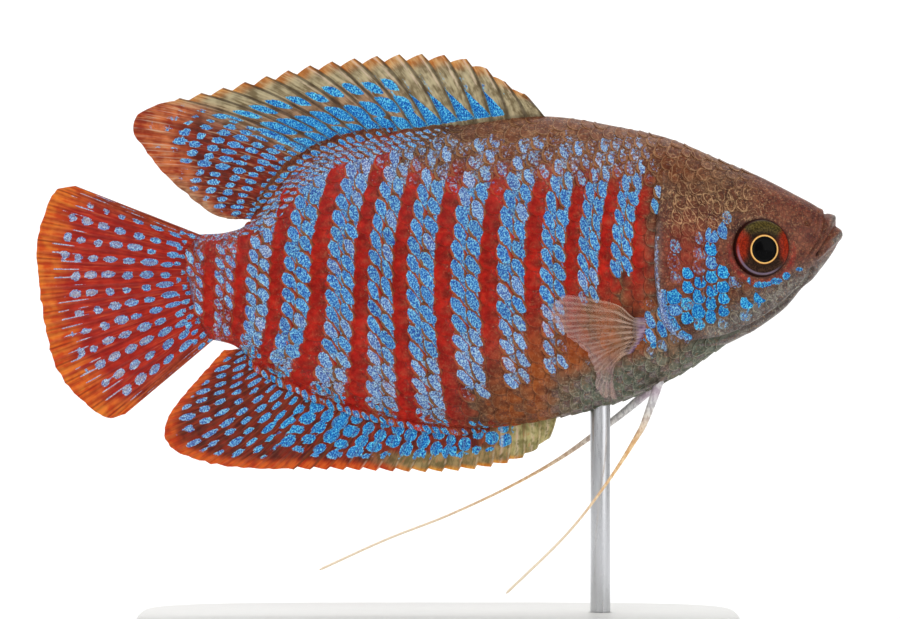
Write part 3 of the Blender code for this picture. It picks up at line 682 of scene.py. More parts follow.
def build_markings():
    group = bpy.data.node_groups.new("fish_markings", "ShaderNodeTree")
    group_sockets(group, [("Zones", "Color"), ("Gilt", "Float"), ("Marks", "Color"), ("Cell", "Vector"),
                          ("Scaled", "Float")],
                  [("Color", "Color"), ("Blue", "Float"), ("Height", "Float")])
    recipe = Recipe(group)
    given = recipe.node("NodeGroupInput").outputs
    red, grey, ochre = recipe.split(given["Zones"])
    # The third mark holds random darkening and painted shade
    amount, violet, chance = recipe.split(given["Marks"])
    edges = grouped(recipe, EDGES, Cell=given["Cell"])
    fine = recipe.noise((5.0, 5.0, 4.0), 2.0, 0.6)
    headlike = recipe.ramp(given["Scaled"], 0.9, 0.6)
    loosely = recipe.ramp(given["Scaled"], 0.1, 0.4)
    ground = paint_ground(recipe, (red, grey, ochre), headlike, fine)
    # Gilt lines: the rims of the scales, and squiggles and rings on the head
    gilt = recipe.mix(grey, tone(222, 180, 132), tone(176, 178, 158))
    rim = recipe.times(edges["Rim"], given["Scaled"])
    curl = recipe.maths("ABSOLUTE", recipe.minus(recipe.noise((0.8, 0.8, 0.8), 1.5, 0.5, 1.8), 0.5))
    curls = recipe.times(recipe.ramp(curl, 0.05, 0.014), recipe.ramp(fine, 0.36, 0.56))
    rings = recipe.times(edges["Turns"], recipe.times(headlike, loosely))
    curls = recipe.most(recipe.times(curls, 0.7), rings)
    lines = recipe.times(recipe.most(curls, rim), recipe.scaled(fine, 1.4, -0.1))
    lines = recipe.times(lines, recipe.most(given["Gilt"], recipe.times(red, 0.42)))
    ground = recipe.mix(lines, ground, recipe.mix(red, gilt, tone(172, 70, 34)))
    # A pale ring round each blue oval
    frayed = recipe.minus(recipe.noise((2.0, 2.0, 2.0)), 0.5)
    ragged = recipe.scaled(frayed, 1.3, edges["Oval"])
    halo = recipe.times(recipe.ramp(ragged, 0.9, 1.2), recipe.ramp(ragged, 2.1, 1.4))
    halo = recipe.times(halo, recipe.ramp(given["Scaled"], 0.6, 1.0))
    halo = recipe.times(halo, recipe.ramp(amount, 0.2, 0.45))
    halo = recipe.times(halo, recipe.scaled(given["Gilt"], 0.6, 0.3))
    ground = recipe.mix(halo, ground, recipe.mix(grey, tone(168, 118, 76), gilt))
    # Blue: an oval on each scale of the flank, the whole scale on the head
    whole = recipe.minus(1.0, recipe.times(edges["Gap"], loosely))
    on_flank = recipe.times(recipe.ramp(ragged, 1.5, 0.45), recipe.minus(1.0, headlike))
    inside = recipe.scaled(whole, headlike, on_flank)
    glints = grouped(recipe, GLINTS, Amount=recipe.times(inside, amount), Violet=violet)
    shade = recipe.times(edges["Shade"], given["Scaled"])
    shade = recipe.times(shade, recipe.ramp(red, 0.0, 1.0, 0.5, 0.12))
    ground = recipe.mix(shade, ground, recipe.mix(grey, tone(60, 32, 22), tone(54, 54, 46)))
    colour = recipe.mix(glints["Cover"], ground, glints["Color"])
    # The third mark darkens: painted shade in the folds of the skin and in hollows, and a random darkening
    # of single scales
    colour = recipe.mix(recipe.times(chance, 0.18), colour, tone(40, 20, 16))
    height = recipe.scaled(glints["Speck"], 0.5, recipe.times(rim, -0.4))
    recipe.node("NodeGroupOutput", {"Color": colour, "Blue": glints["Cover"], "Height": height})
    return group


MARKINGS = build_markings()


def marked(recipe, cell):
    """The markings node, fed with a piece's own layers. Alphas hold the gilt and how scaly it is."""
    zones, marks = recipe.attribute("zones"), recipe.attribute("marks")
    return grouped(recipe, MARKINGS, Zones=zones["Color"], Gilt=zones["Alpha"], Marks=marks["Color"],
                   Cell=cell, Scaled=marks["Alpha"])


print("markings group:", len(MARKINGS.nodes), "nodes")

# %% [markdown]
# ## Skin
# One closed skin covers head, jaw, trunk and tail base, so that no seam shows. By hand one would
# sculpt it. Here a flat grid is laid round the body by a formula, with its lines gathered at the
# head and one line exactly on the edge of the gill cover, and is then raised and sunk along its own
# normals: lips, the fold behind them, nostrils, the rim and socket of each eye, the grooves of the
# gill cover and the line under the jaw.


# %% Laying a grid, and finishing a piece
def laid_grid(name, columns, rows, place):
    """A grid of columns x rows faces whose points a formula moves into place; u and v run 0 to 1."""
    bpy.ops.object.select_all(action="DESELECT")
    bpy.ops.mesh.primitive_grid_add(x_subdivisions=columns, y_subdivisions=rows, size=1)
    piece = bpy.context.object
    piece.name = piece.data.name = name
    flat = np.empty(3 * len(piece.data.vertices))
    piece.data.vertices.foreach_get("co", flat)
    u, v = flat.reshape(-1, 3)[:, 0] + 0.5, flat.reshape(-1, 3)[:, 1] + 0.5
    piece.data.vertices.foreach_set("co", (place(u, v) * MM).ravel())
    piece.data.update()
    return piece, u, v


def layer(piece, name, columns):
    """Stores up to four values for each point as a colour layer."""
    made = piece.data.color_attributes.new(name, "FLOAT_COLOR", "POINT")
    values = np.zeros((len(piece.data.vertices), 4))
    values[:, :columns.shape[1]] = columns
    made.data.foreach_set("color", values.ravel())


def only(piece):
    """Selects one piece and nothing else."""
    bpy.ops.object.select_all(action="DESELECT")
    piece.select_set(True)
    bpy.context.view_layer.objects.active = piece


def face_out(piece, merge=None):
    """Turns all faces out, after points nearer to each other than merge, in mm, are made one."""
    only(piece)
    bpy.ops.object.mode_set(mode="EDIT")
    bpy.ops.mesh.select_all(action="SELECT")
    if merge:
        bpy.ops.mesh.remove_doubles(threshold=merge * MM)
    bpy.ops.mesh.normals_make_consistent(inside=False)
    bpy.ops.object.mode_set(mode="OBJECT")


def finish_piece(piece, surface, slot, *nodes, degrees=45):
    """Smooth shading, material, and what the piece rides on and stands for."""
    only(piece)
    bpy.ops.object.shade_smooth_by_angle(angle=math.radians(degrees))
    piece.data.materials.clear()
    piece.data.materials.append(surface)
    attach(piece, "root")
    if nodes:
        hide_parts(*nodes)
    print(piece.name, len(piece.data.polygons), "faces")


print("grid, layers and finishing ready")

# %% Relief of the head
EYE_X, EYE_Z, EYE_RADIUS, EYE_HALF_DEPTH, EYE_BULGE, EYE_YAW = 31.9, 39.35, 2.94, 1.55, 0.65, 14.0
UPPER_LIP = [(37.9, 1.9, 39.3), (38.6, 1.65, 40.9), (39.1, 0.95, 41.95), (39.3, 0.0, 42.3)]
LOWER_LIP = [(37.6, 2.0, 38.6), (38.9, 1.5, 39.8), (39.7, 0.8, 40.6), (39.85, 0.0, 40.75)]
MOUTH = [(37.6, 2.1, 38.7), (38.5, 1.75, 40.2), (39.3, 1.0, 41.3), (39.7, 0.0, 41.55)]
# Lines in side view: the groove's points, its depth and its half breadth
GROOVES = [
    ([(38.7, 43.2), (38.5, 41.6), (38.0, 40.2), (37.1, 38.9)], 0.2, 0.15),
    ([(38.0, 42.9), (37.9, 41.4), (37.3, 40.0), (36.4, 38.9)], 0.1, 0.14),
    ([(26.9, 42.3), (26.5, 39.2), (26.4, 36.0), (26.9, 33.4), (28.5, 31.9), (31.2, 31.4)], 0.12, 0.14),
    ([(37.3, 37.3), (36.0, 35.3), (32.8, 32.6), (28.9, 30.6), (25.2, 29.9)], 0.34, 0.2),
    ([(30.0, 36.3), (31.3, 35.4), (33.4, 35.4), (35.3, 36.6), (36.6, 38.0)], 0.08, 0.16),
    ([(27.3, 35.8), (27.9, 34.6), (28.5, 33.7)], 0.12, 0.1),
]
NOSTRILS = [(36.8, 41.85, 0.3, 0.4), (37.35, 42.35, 0.16, 0.14)]


def away_from(points, path, count=70):
    """Distance of points to a smooth path."""
    fine = along(path, np.linspace(0, 1, count))
    return np.min(np.linalg.norm(points[:, None, :] - fine[None, :, :], axis=2), axis=1)


def relief(points):
    """How far the skin is raised from the smooth body, in mm, and how much painted shade lies in its folds
    and grooves.
    """
    raised, crease_shade = np.zeros(len(points)), np.zeros(len(points))
    face = points[:, 0] > 20.5
    near = points[face]
    mirrored = near.copy()
    mirrored[:, 1] = np.abs(near[:, 1])
    flat = near[:, [0, 2]]
    # dark gathers painted shade: in the mouth, in the grooves, in the nostrils and round the eye socket
    total, dark = np.zeros(len(near)), np.zeros(len(near))
    total += 0.46 * bump_of(away_from(mirrored, UPPER_LIP), 0, 0.42)
    total += 0.5 * bump_of(away_from(mirrored, LOWER_LIP), 0, 0.44)
    reach = away_from(mirrored, MOUTH)
    total -= 0.6 * bump_of(reach, 0, 0.18)
    dark += 3.2 * bump_of(reach, 0, 0.15)
    for path, depth, breadth in GROOVES:
        reach = away_from(flat, path)
        banks = 0.35 * depth * bump_of(reach, 2.4 * breadth, 1.2 * breadth)
        total -= depth * bump_of(reach, 0, breadth) - banks
        dark += 9 * depth * bump_of(reach, 0, 1.1 * breadth)
    for centre_x, centre_z, radius, depth in NOSTRILS:
        reach = np.hypot(flat[:, 0] - centre_x, flat[:, 1] - centre_z)
        rim = 0.25 * depth * bump_of(reach, 1.5 * radius, 0.5 * radius)
        total -= depth * bump_of(reach, 0, radius) - rim
        dark += 2.0 * bump_of(reach, 0, radius)
    reach = np.hypot(flat[:, 0] - EYE_X, flat[:, 1] - EYE_Z)
    total += 0.1 * bump_of(reach, EYE_RADIUS + 0.3, 0.3)
    total -= 1.4 * step(reach, EYE_RADIUS - 0.25, EYE_RADIUS - 0.7)
    dark += 2.6 * step(reach, EYE_RADIUS + 0.06, EYE_RADIUS - 0.1)
    raised[face], crease_shade[face] = total, np.clip(dark, 0, 3.6)
    return raised, crease_shade


print("head:", len(GROOVES), "grooves and", len(NOSTRILS), "nostrils on each side")

# %% The skin itself
REAR_STATIONS, HEAD_STATIONS, RING_POINTS = 110, 150, 208
SNOUT_EASE = 0.35
SKIN_OVERRUN = 0.9
GILL_STEP = 0.16


def tail_end(angle):
    height = np.sin(angle)
    slant = TAIL_ROOT_LOW + (TAIL_ROOT_HIGH - TAIL_ROOT_LOW) * (height + 1) / 2
    return slant - TAIL_ROOT_BULGE * (1 - height**2) - SKIN_OVERRUN


def skin_station(u, ring):
    """x of a skin point: the grid's lines bend to follow the tail root and the gill cover."""
    turn = 1 - np.abs(np.mod(ring, 4) - 2)
    last = REAR_STATIONS + HEAD_STATIONS
    count = np.round(u * last)
    angle = angle_at(np.full_like(u, 10.0), turn)
    edge = gill_edge(angle)
    rear = tail_end(angle) + (edge - 0.04 - tail_end(angle)) * np.clip(count / REAR_STATIONS, 0, 1)
    share = np.clip((count - REAR_STATIONS - 1) / (HEAD_STATIONS - 1), 0, 1)
    share = share + SNOUT_EASE * share * (1 - share)
    front = edge + 0.001 + (NOSE - edge - 0.001) * share
    return np.where(count <= REAR_STATIONS, rear, front), angle


shade_and_lift = []


def skin_place(u, v):
    ring = 4 * v
    x, angle = skin_station(u, ring)
    inset = -SKIN_INSET * step(x, 37.0, 33.0)
    base = body(x, ring, inset)
    raised, crease_shade = relief(base)
    shade_and_lift[:] = [crease_shade, raised]
    edge = gill_edge(angle)
    raised -= GILL_STEP * step(x, edge - 1.4, edge - 0.1) * (x < edge) * step(np.sin(angle), 0.7, 0.5)
    points = base + facing(x, ring, inset) * raised[:, None]
    closed = (u < 1e-6) | (u > 1 - 1e-6)
    points[closed, 1] = 0.0
    return points


skin, u, v = laid_grid("skin", REAR_STATIONS + HEAD_STATIONS, RING_POINTS, skin_place)
skin_x, skin_angle = skin_station(u, 4 * v)
skin_height = np.sin(skin_angle)
skin_z = section(skin_x, skin_angle)[1]
skin_column = column_of(skin_x, skin_height)
zones = zones_of(skin_x, skin_z, skin_height, skin_column)
# Painted highlight: where the lips stand highest they are painted pale grey
lips = step(shade_and_lift[1], 0.2, 0.42) * step(skin_x, 38.5, 39.3)
zones[:, 0] *= 1 - lips
zones[:, 1] = np.maximum(zones[:, 1], lips)
zones[:, 3] = np.maximum(zones[:, 3], lips)
layer(skin, "zones", zones)
# The cheek's blue is on the skin only where no scale covers it, and a line follows the gill cover
blue, violet = blue_of(skin_x, skin_z, skin_height, skin_column)
from_edge = skin_x - gill_edge(skin_angle)
bare = np.maximum(step(skin_x, 29.4, 30.2), step(skin_x, 23.2, 22.6))
bare = np.maximum(bare, step(from_edge, 1.5, 1.1))
cheek = 0.9 * cheek_blue(skin_x, skin_z) * bare
low_edge = step(skin_z, 34.5, 32.0)
rim_line = bump_of(from_edge, 0.2, 0.45 + 0.12 * low_edge)
rim_line *= step(skin_z, 29.6, 30.8) * step(skin_z, 41.5, 40.0)
blue = 0.8 * blue * step(skin_x, 20.9, 20.3)
blue = np.maximum(blue, np.maximum(cheek, (0.45 + 0.1 * low_edge) * rim_line))
violet = np.maximum(violet * (cheek < 0.1), rim_line)
# The third mark of the skin is painted shade in the mouth, grooves, nostrils and round each eye
layer(skin, "marks", np.column_stack([blue, violet, shade_and_lift[0], 0 * blue]))
skin.data.uv_layers[0].name = "OFBake"
face_out(skin, merge=0.003)
print("skin closed, with", len(skin.data.vertices), "points")

# %% [markdown]
# Skin between the scales and on the bare face is soft and finely pored. Its finish takes the colour
# from the markings node, darkens a net of pores, adds pale freckles, and uses both for its relief.

# %% Finish of the skin
skin_finish, recipe, shader = new_finish("fish_skin", 0.42, Coat_Weight=0.08, Coat_Roughness=0.2,
                                         Specular_IOR_Level=0.15)
colour = marked(recipe, (0.0, 0.0, 0.0))["Color"]
pores = recipe.node("ShaderNodeTexVoronoi", {"Vector": recipe.place((2.2, 2.2, 2.2)), "Scale": 1.0},
                    feature="DISTANCE_TO_EDGE").outputs[0]
net = recipe.ramp(pores, 0.02, 0.16)
colour = recipe.mix(recipe.scaled(net, -0.45, 0.45), colour, tone(62, 42, 36))
freckle = recipe.noise((3.4, 3.4, 3.4), 2.0, 0.6)
colour = recipe.mix(recipe.ramp(freckle, 0.6, 0.7, 0.0, 0.5), colour, tone(168, 128, 92))
grain = recipe.scaled(net, 0.5, recipe.times(freckle, 0.6))
feed(recipe, shader, Base_Color=colour, Normal=bump(recipe, grain, 0.5, 0.06),
     Roughness=recipe.ramp(freckle, 0.3, 0.7, 0.3, 0.46))
finish_piece(skin, skin_finish, "head_skin", "head", "lower_jaw", "trunk", "tail_base", degrees=60)

# %% [markdown]
# ## Scales
# Each scale is a thin round plate that sticks in the skin with its front and lies over the next ones
# with its rear. A single plate is modelled once: a grid rounded to a disc, extruded to its thickness,
# its hidden underside dissolved to one face. It is then set on the lattice of columns and rows. A
# plate's own points are given in lattice units, so that it bends with the body and grows or shrinks
# with the rows. Its rear and lower edge are raised, and cover the plates behind and below it.

# %% One scale
DISC_HALF_LENGTH, DISC_HALF_HEIGHT = 1.0, 0.78
PLATE_THICKNESS, PLATE_DOME = 0.08, 0.03
TILT_BACK, TILT_DOWN, PLATE_LEVEL = 0.10, 0.05, 0.05


def model_plate():
    """One scale: points as lattice place and height, and its faces."""
    bpy.ops.object.select_all(action="DESELECT")
    bpy.ops.mesh.primitive_grid_add(x_subdivisions=6, y_subdivisions=6, size=2)
    plate = bpy.context.object
    for vertex in plate.data.vertices:
        x, y, _ = vertex.co
        vertex.co = (x * math.sqrt(1 - y * y / 2), y * math.sqrt(1 - x * x / 2), 0.0)
    bpy.ops.object.mode_set(mode="EDIT")
    bpy.ops.mesh.select_all(action="SELECT")
    bpy.ops.mesh.extrude_region_move(TRANSFORM_OT_translate={"value": (0, 0, 1)})
    bpy.ops.object.mode_set(mode="OBJECT")
    for face in plate.data.polygons:
        face.select = all(plate.data.vertices[corner].co.z < 0.5 for corner in face.vertices)
    bpy.ops.object.mode_set(mode="EDIT")
    bpy.ops.mesh.select_mode(type="FACE")
    bpy.ops.mesh.dissolve_faces()
    bpy.ops.mesh.select_all(action="SELECT")
    bpy.ops.mesh.normals_make_consistent(inside=False)
    bpy.ops.object.mode_set(mode="OBJECT")
    points = np.array([vertex.co[:] for vertex in plate.data.vertices])
    faces = [list(face.vertices) for face in plate.data.polygons]
    bpy.data.objects.remove(plate)
    return points, faces


plate_points, plate_faces = model_plate()
print("one scale:", len(plate_points), "points,", len(plate_faces), "faces")

# %% Where scales stand
FORWARD_MOST, REAR_MOST = 48, -8


def scale_places():
    """Column and row of every scale on one side."""
    places = []
    for column in range(REAR_MOST, FORWARD_MOST):
        for row in range(-16, 17):
            places.append((column + 0.5, row + ROW_SHIFT * column))
    column, row = np.array(places).T
    x, turn = place_of(column, row)
    good = np.abs(turn) < 0.985
    column, row, x, turn = column[good], row[good], x[good], turn[good]
    angle = angle_at(x, turn)
    height = np.sin(angle)
    z = section(x, angle)[1]
    from_back = (1 - turn) * np.interp(x, STATIONS, LENGTH_ABOVE)
    from_belly = (1 + turn) * np.interp(x, STATIONS, LENGTH_BELOW)
    sheathed = ((from_back < 2.0) & (x < 0.5)) | ((from_belly < 1.3) & (x < 7.5))
    behind = x < gill_edge(angle) + 0.45
    ahead = x > gill_edge(angle) + np.where(height > 0.62, -9.0, 1.15)
    naked = np.hypot(x - EYE_X, z - EYE_Z) < EYE_RADIUS + 0.95
    naked |= (z > 42.0) & (x > 31.6)
    naked |= (z <= 42.0) & (z > 36.8) & (x > 29.9)
    gular = smooth([(22.0, 29.6), (25.2, 30.4), (28.9, 31.1), (32.8, 33.2), (36.0, 35.9), (38.0, 38.5)], x)
    naked |= (x > 23.0) & (z < gular) & ~behind
    naked |= x > 35.6
    keep = (behind | ahead) & ~(naked & ~behind) & ~sheathed & (x > tail_end(angle) + SKIN_OVERRUN - 0.7)
    on_head = ahead & ~behind
    return column[keep], row[keep], x[keep], z[keep], height[keep], on_head[keep]


print("scales on one side:", len(scale_places()[0]))


# %% Setting the scales
ON_FIN_OFF = 0.34


def set_plates(name, side, rng, column, row, on_head, locate, grown=1.0):
    """One joined piece with a plate on each column and row; also returns where its points lie."""
    count, corners = len(column), len(plate_points)
    uneven = np.where(on_head, 1.0, 0.35)[:, None]
    size = (1 + uneven * rng.uniform(-0.14, 0.16, (count, 1))) * np.reshape(grown, (-1, 1))
    spin = uneven * rng.normal(0, 0.16, (count, 1))
    disc = plate_points[:, :2] * (DISC_HALF_LENGTH, DISC_HALF_HEIGHT)
    a, b = disc[None, :, 0] * size, disc[None, :, 1] * size
    a, b = a + spin * b + DISC_FRONT, b - spin * a + DISC_UP
    at_column = (column[:, None] + a).ravel()
    at_row = (row[:, None] + ROW_SHIFT * a + b).ravel()
    x, turn, past = locate(at_column, at_row)
    ring = np.where(side < 0, 1 + turn, 3 - turn)
    lifted = np.repeat(on_head, corners)
    base = np.where(lifted[:, None], body(x, ring, -SKIN_INSET, True), body(x, ring, -SKIN_INSET, False))
    # Past the edge of the body a plate lies on the foot of the fin, and not in the fin's middle
    base[:, 1] = side * np.maximum(side * base[:, 1], ON_FIN_OFF * (past != 0))
    base[:, 2] += past
    normal = facing(x, ring, -SKIN_INSET, False)
    normal[past != 0] = (0.0, side, 0.0)
    dome = PLATE_DOME * (1 - plate_points[:, 0] ** 2 - plate_points[:, 1] ** 2)
    top = PLATE_LEVEL + dome[None, :] - TILT_BACK * a - TILT_DOWN * b + rng.normal(0, 0.006, (count, 1))
    rise = np.where(plate_points[None, :, 2] > 0.5, top, top - PLATE_THICKNESS)
    points = base + normal * rise.reshape(-1, 1)
    faces = [[corner + corners * i for corner in face] for i in range(count) for face in plate_faces]
    mesh = bpy.data.meshes.new(name)
    mesh.from_pydata((points * MM).tolist(), [], faces)
    coat = bpy.data.objects.new(name, mesh)
    bpy.context.scene.collection.objects.link(coat)
    loops = np.empty(len(mesh.loops), int)
    mesh.loops.foreach_get("vertex_index", loops)
    cell = np.tile(disc + (DISC_FRONT, DISC_UP), (count, 1))[loops]
    face_map = mesh.uv_layers.new(name="plate")
    face_map.data.foreach_set("uv", (0.5 + 0.25 * cell).ravel())
    first, low = column.min() - 1, row.min() - 1
    span_column, span_row = column.max() - first + 1, row.max() - low + 1
    patch = 0.46 * plate_points[:, :2]
    wanted = np.column_stack([column - first, row - low])[:, None, :] + patch[None]
    bake_map = mesh.uv_layers.new(name="OFBake")
    bake_map.data.foreach_set("uv", (wanted.reshape(-1, 2)[loops] / (span_column, span_row)).ravel())
    height = np.sin(angle_at(x, turn))
    z = section(x, np.arcsin(np.clip(height, -1, 1)))[1]
    return coat, at_column, x, z, height


print("plates can be set")


# %% The two coats of scales
SIDES = {"right": -1, "left": 1}
# Hollows that get painted shade: x, z, half length, half height and darkness of each
HOLLOW_SHADES = [(21.3, 26.1, 0.9, 0.8, 0.8), (19.5, 33.1, 0.9, 0.55, 1.0), (18.7, 31.2, 1.0, 1.6, 0.5)]


def on_flank_rows(column, row):
    x, turn = place_of(column, row)
    return x, turn, np.zeros_like(x)


def build_coat(name, side, seed):
    """All scales of one side, each one blue or not as a whole."""
    column, row, x, z, height, on_head = scale_places()
    rng = np.random.default_rng(seed)
    count, corners = len(column), len(plate_points)
    placed = set_plates(name, side, rng, column, row, on_head, on_flank_rows)
    coat, at_column, at_x, at_z, at_height = placed
    x, z, height, headed = (np.repeat(values, corners) for values in (x, z, height, on_head))
    blue, violet = blue_of(x, z, height, np.repeat(column, corners))
    chance, dim = np.repeat(rng.random(count), corners), np.repeat(rng.random(count), corners)
    # The visible part of a scale lies a little behind and below its middle
    seen_x, seen_turn = place_of(column - 0.05, row - 0.1)
    seen_z = section(seen_x, angle_at(seen_x, np.clip(seen_turn, -1, 1)))[1]
    bright = np.repeat(cheek_blue(seen_x, seen_z, 2.5), corners)
    around = 0.46 * np.repeat(cheek_blue(seen_x, seen_z, 6.5), corners)
    cheek = np.maximum(bright, around) * (0.74 + 0.26 * chance)
    blue = np.clip(np.maximum(blue * (1.12 - 0.3 * dim) * ~headed, cheek), 0, 1)
    rear_violet = 0.35 * (dim > 0.85) + 0.4 * step(x, 23.0, 21.4) + 0.4 * (bright < 0.3)
    violet = np.clip(np.where(cheek > 0.1, rear_violet, violet + 0.4 * (dim > 0.86)), 0, 1)
    layer(coat, "zones", zones_of(at_x, at_z, at_height, at_column + 0.05))
    # The third mark: a random darkening of each scale, and painted shade in the hollows round the roots of
    # the pectoral fins and feelers
    dark = chance.copy()
    for hollow_x, hollow_z, long, tall, depth in HOLLOW_SHADES:
        dark += 6 * depth * bump_of(at_x, hollow_x, long) * bump_of(at_z, hollow_z, tall)
    layer(coat, "marks", np.column_stack([blue, violet, dark, np.where(headed, 0.45, 1.0)]))
    return coat


coats = [build_coat("scales_" + word, side, 11 + i) for i, (word, side) in enumerate(SIDES.items())]
print("two coats of", len(coats[0].data.polygons), "faces each")

# %% [markdown]
# Where the dorsal and anal fins leave the body, the scales grow small and climb a little way up the
# fin. They are the same plate at a smaller size, on rows that run along each fin's root.

# %% Small scales at the foot of the dorsal and anal fins
SMALL_LENGTH, SMALL_HEIGHT = 0.9, 0.78
SHEATHS = {
    "back": (1, BACK, ((0.5, -17.8, -3.5), (-0.5, -19.4, 2.4), (-1.5, -20.0, 1.4), (-2.5, -20.3, 0.4))),
    "belly": (-1, BELLY, ((-0.4, -19.2, 5.6), (0.6, -20.4, 8.0), (1.6, -20.4, 7.6))),
}


def build_sheath(word, which, seed):
    """Rows of small scales that run along a fin's root and climb on to the fin."""
    way, edge, rows = SHEATHS[word]
    side = SIDES[which]
    xs = np.linspace(-22.4, 14.0, 300)
    zs = smooth(edge, xs)
    slopes = np.gradient(zs, xs)
    run = np.cumsum(np.hypot(np.gradient(xs), np.gradient(zs)))

    def locate(column, row):
        root = np.interp(SMALL_LENGTH * column, run, xs)
        slope = np.interp(root, xs, slopes)
        inward = -way * SMALL_HEIGHT * row / np.hypot(1, slope)
        x = root + way * slope * inward
        inside = way * (smooth(edge, x) - smooth(edge, root)) + inward
        length = np.interp(x, STATIONS, LENGTH_ABOVE if way > 0 else LENGTH_BELOW)
        turn = way * np.minimum(1 - inside / length, 0.995)
        return x, turn, np.where(inside < 0.005 * length, -way * (inside - 0.005 * length), 0.0)

    rng = np.random.default_rng(seed)
    places = []
    for k, (row, rear, front) in enumerate(rows):
        first, last = (int(np.interp(end, xs, run) / SMALL_LENGTH) for end in (rear, front))
        for i in range(first, last):
            taper = min(1.0, 0.45 + 0.2 * min(i - first, last - 1 - i))
            places.append((i + 0.5 * (k % 2), row, taper * rng.uniform(0.82, 1.08)))
    column, row, grown = np.array(places, float).T
    count, corners = len(column), len(plate_points)
    name = f"sheath_{word}_{which}"
    on_head = np.zeros(count, bool)
    sheath, _, x, z, height = set_plates(name, side, rng, column, row, on_head, locate, grown)
    pair = step(np.abs(bar_phase(column_of(x, height))), 0.5, 0.75)
    zones = zones_of(x, z, height, column_of(x, height))
    chance, dim = np.repeat(rng.random(count), corners), np.repeat(rng.random(count), corners)
    edge_row = np.repeat(way * row, corners) > (0.0 if way > 0 else -0.5)
    if way > 0:
        zones[:, 0] = (0.42 + 0.2 * (1 - pair)) * step(x, 0.0, -6.0) * np.where(edge_row, 0.4, 1.0)
        blue = (0.5 + 0.1 * pair + 0.16 * dim + 0.24 * edge_row) * step(x, 3.0, 0.0)
        violet = (0.35 + 0.5 * chance) * np.where(edge_row, 0.5, 1.0)
    else:
        zones[:, 0] = np.maximum(zones[:, 0], 0.5)
        blue = np.where(edge_row, 0.86, 0.74 * pair) * (0.9 + 0.2 * dim)
        blue = blue * step(x, 7.5, 4.0) * np.where(chance > 0.22, 1.0, 0.5)
        violet = 0.1 + 0.4 * (1 - pair)
    zones[:, 3] = 0.5
    layer(sheath, "zones", zones)
    layer(sheath, "marks", np.column_stack([blue, violet, 0.6 * chance, np.ones_like(blue)]))
    return sheath


sheaths = [build_sheath(word, which, 13) for word in SHEATHS for which in SIDES]
print("small scales in", len(sheaths), "pieces")

# %% [markdown]
# A scale's finish reads the place on the plate from a map of its own, so that rim, shade and oval fall
# on every scale alike, while the colour comes from the markings.

# %% Finish of the scales
scale_finish, recipe, shader = new_finish("scale_plate", 0.42, Coat_Weight=0.05, Coat_Roughness=0.14,
                                          Specular_IOR_Level=0.08)
plate_map = recipe.node("ShaderNodeUVMap", uv_map="plate").outputs[0]
cell = recipe.vectors("MULTIPLY_ADD", plate_map, (4.0, 4.0, 0.0), (-2.0, -2.0, 0.0))[0]
outputs = marked(recipe, cell)
feed(recipe, shader, Base_Color=outputs["Color"], Normal=bump(recipe, outputs["Height"], 0.5, 0.03),
     Roughness=recipe.ramp(outputs["Blue"], 0.0, 1.0, 0.46, 0.34))
for piece in (*coats, *sheaths):
    finish_piece(piece, scale_finish, "scales", degrees=50)

# %% [markdown]
# ## Fins
# A fin is a thin sheet held out by rays. The sheet is a grid whose columns run along the rays, placed
# by the fin's root on the body and its free margin. Solidify then gives it thickness, and a weight
# for each point says how much: little in the membrane, more on each ray, so that rays stand up on both
# faces. Spines are single and stout and reach past the sheet. Soft rays split twice on their way out.

# %% Sheets with rays
SPINE_STEPS = (0.0, 0.05, 0.1, 0.16, 0.24, 0.36, 0.5, 0.64, 0.76, 0.84, 0.9, 0.95)
GAP_COLUMNS = len(SPINE_STEPS)
MOST_HALF_THICKNESS = 0.34
FIN_SINK = 1.1
FIN_BOW = 0.04
FIN_SWAY = 0.45


def fan_out(share, ease):
    """Ray places along a fin's root: the rays stand closer towards the rear."""
    return share + ease * share * (1 - share)


def ray_number(u, rays, spines):
    """Ray coordinate of each grid column: whole numbers lie on rays, which get closer columns."""
    count = np.round(u * (rays - 1) * GAP_COLUMNS).astype(int)
    gap, inner = count // GAP_COLUMNS, count % GAP_COLUMNS
    return gap + np.where(gap < spines, np.array(SPINE_STEPS)[inner], inner / GAP_COLUMNS)


def ridge(distance, breadth):
    return np.sqrt(np.clip(1 - (distance / breadth) ** 2, 0, 1))


def ray_thickness(q, part, gap_width, spines, spine_half, soft_half, film):
    """Half thickness of a fin in mm, with its rays, and how much of a ray lies at each point."""
    near = np.abs(q - np.round(q))
    spiny = q < spines - 0.5
    stem = ridge(near * gap_width, np.where(spiny, 0.24 - 0.1 * part, 0.2))
    split = 0.21 * step(part, 0.3, 0.62)
    twigs = ridge(np.abs(near - split) * gap_width, 0.15)
    twig_split = 0.1 * step(part, 0.66, 0.95)
    twigs = np.maximum(twigs, ridge(np.abs(near - split - twig_split) * gap_width, 0.1))
    soft = np.where(part < 0.3, stem, twigs)
    ray = np.where(spiny, stem, soft)
    size = np.where(spiny, spine_half[0] + (spine_half[1] - spine_half[0]) * part,
                    soft_half[0] + (soft_half[1] - soft_half[0]) * part)
    thin = film[0] + (film[1] - film[0]) * part
    return np.maximum(thin, thin + (size - thin) * ray), ray


print("fin sheets: a ray every", GAP_COLUMNS, "columns")


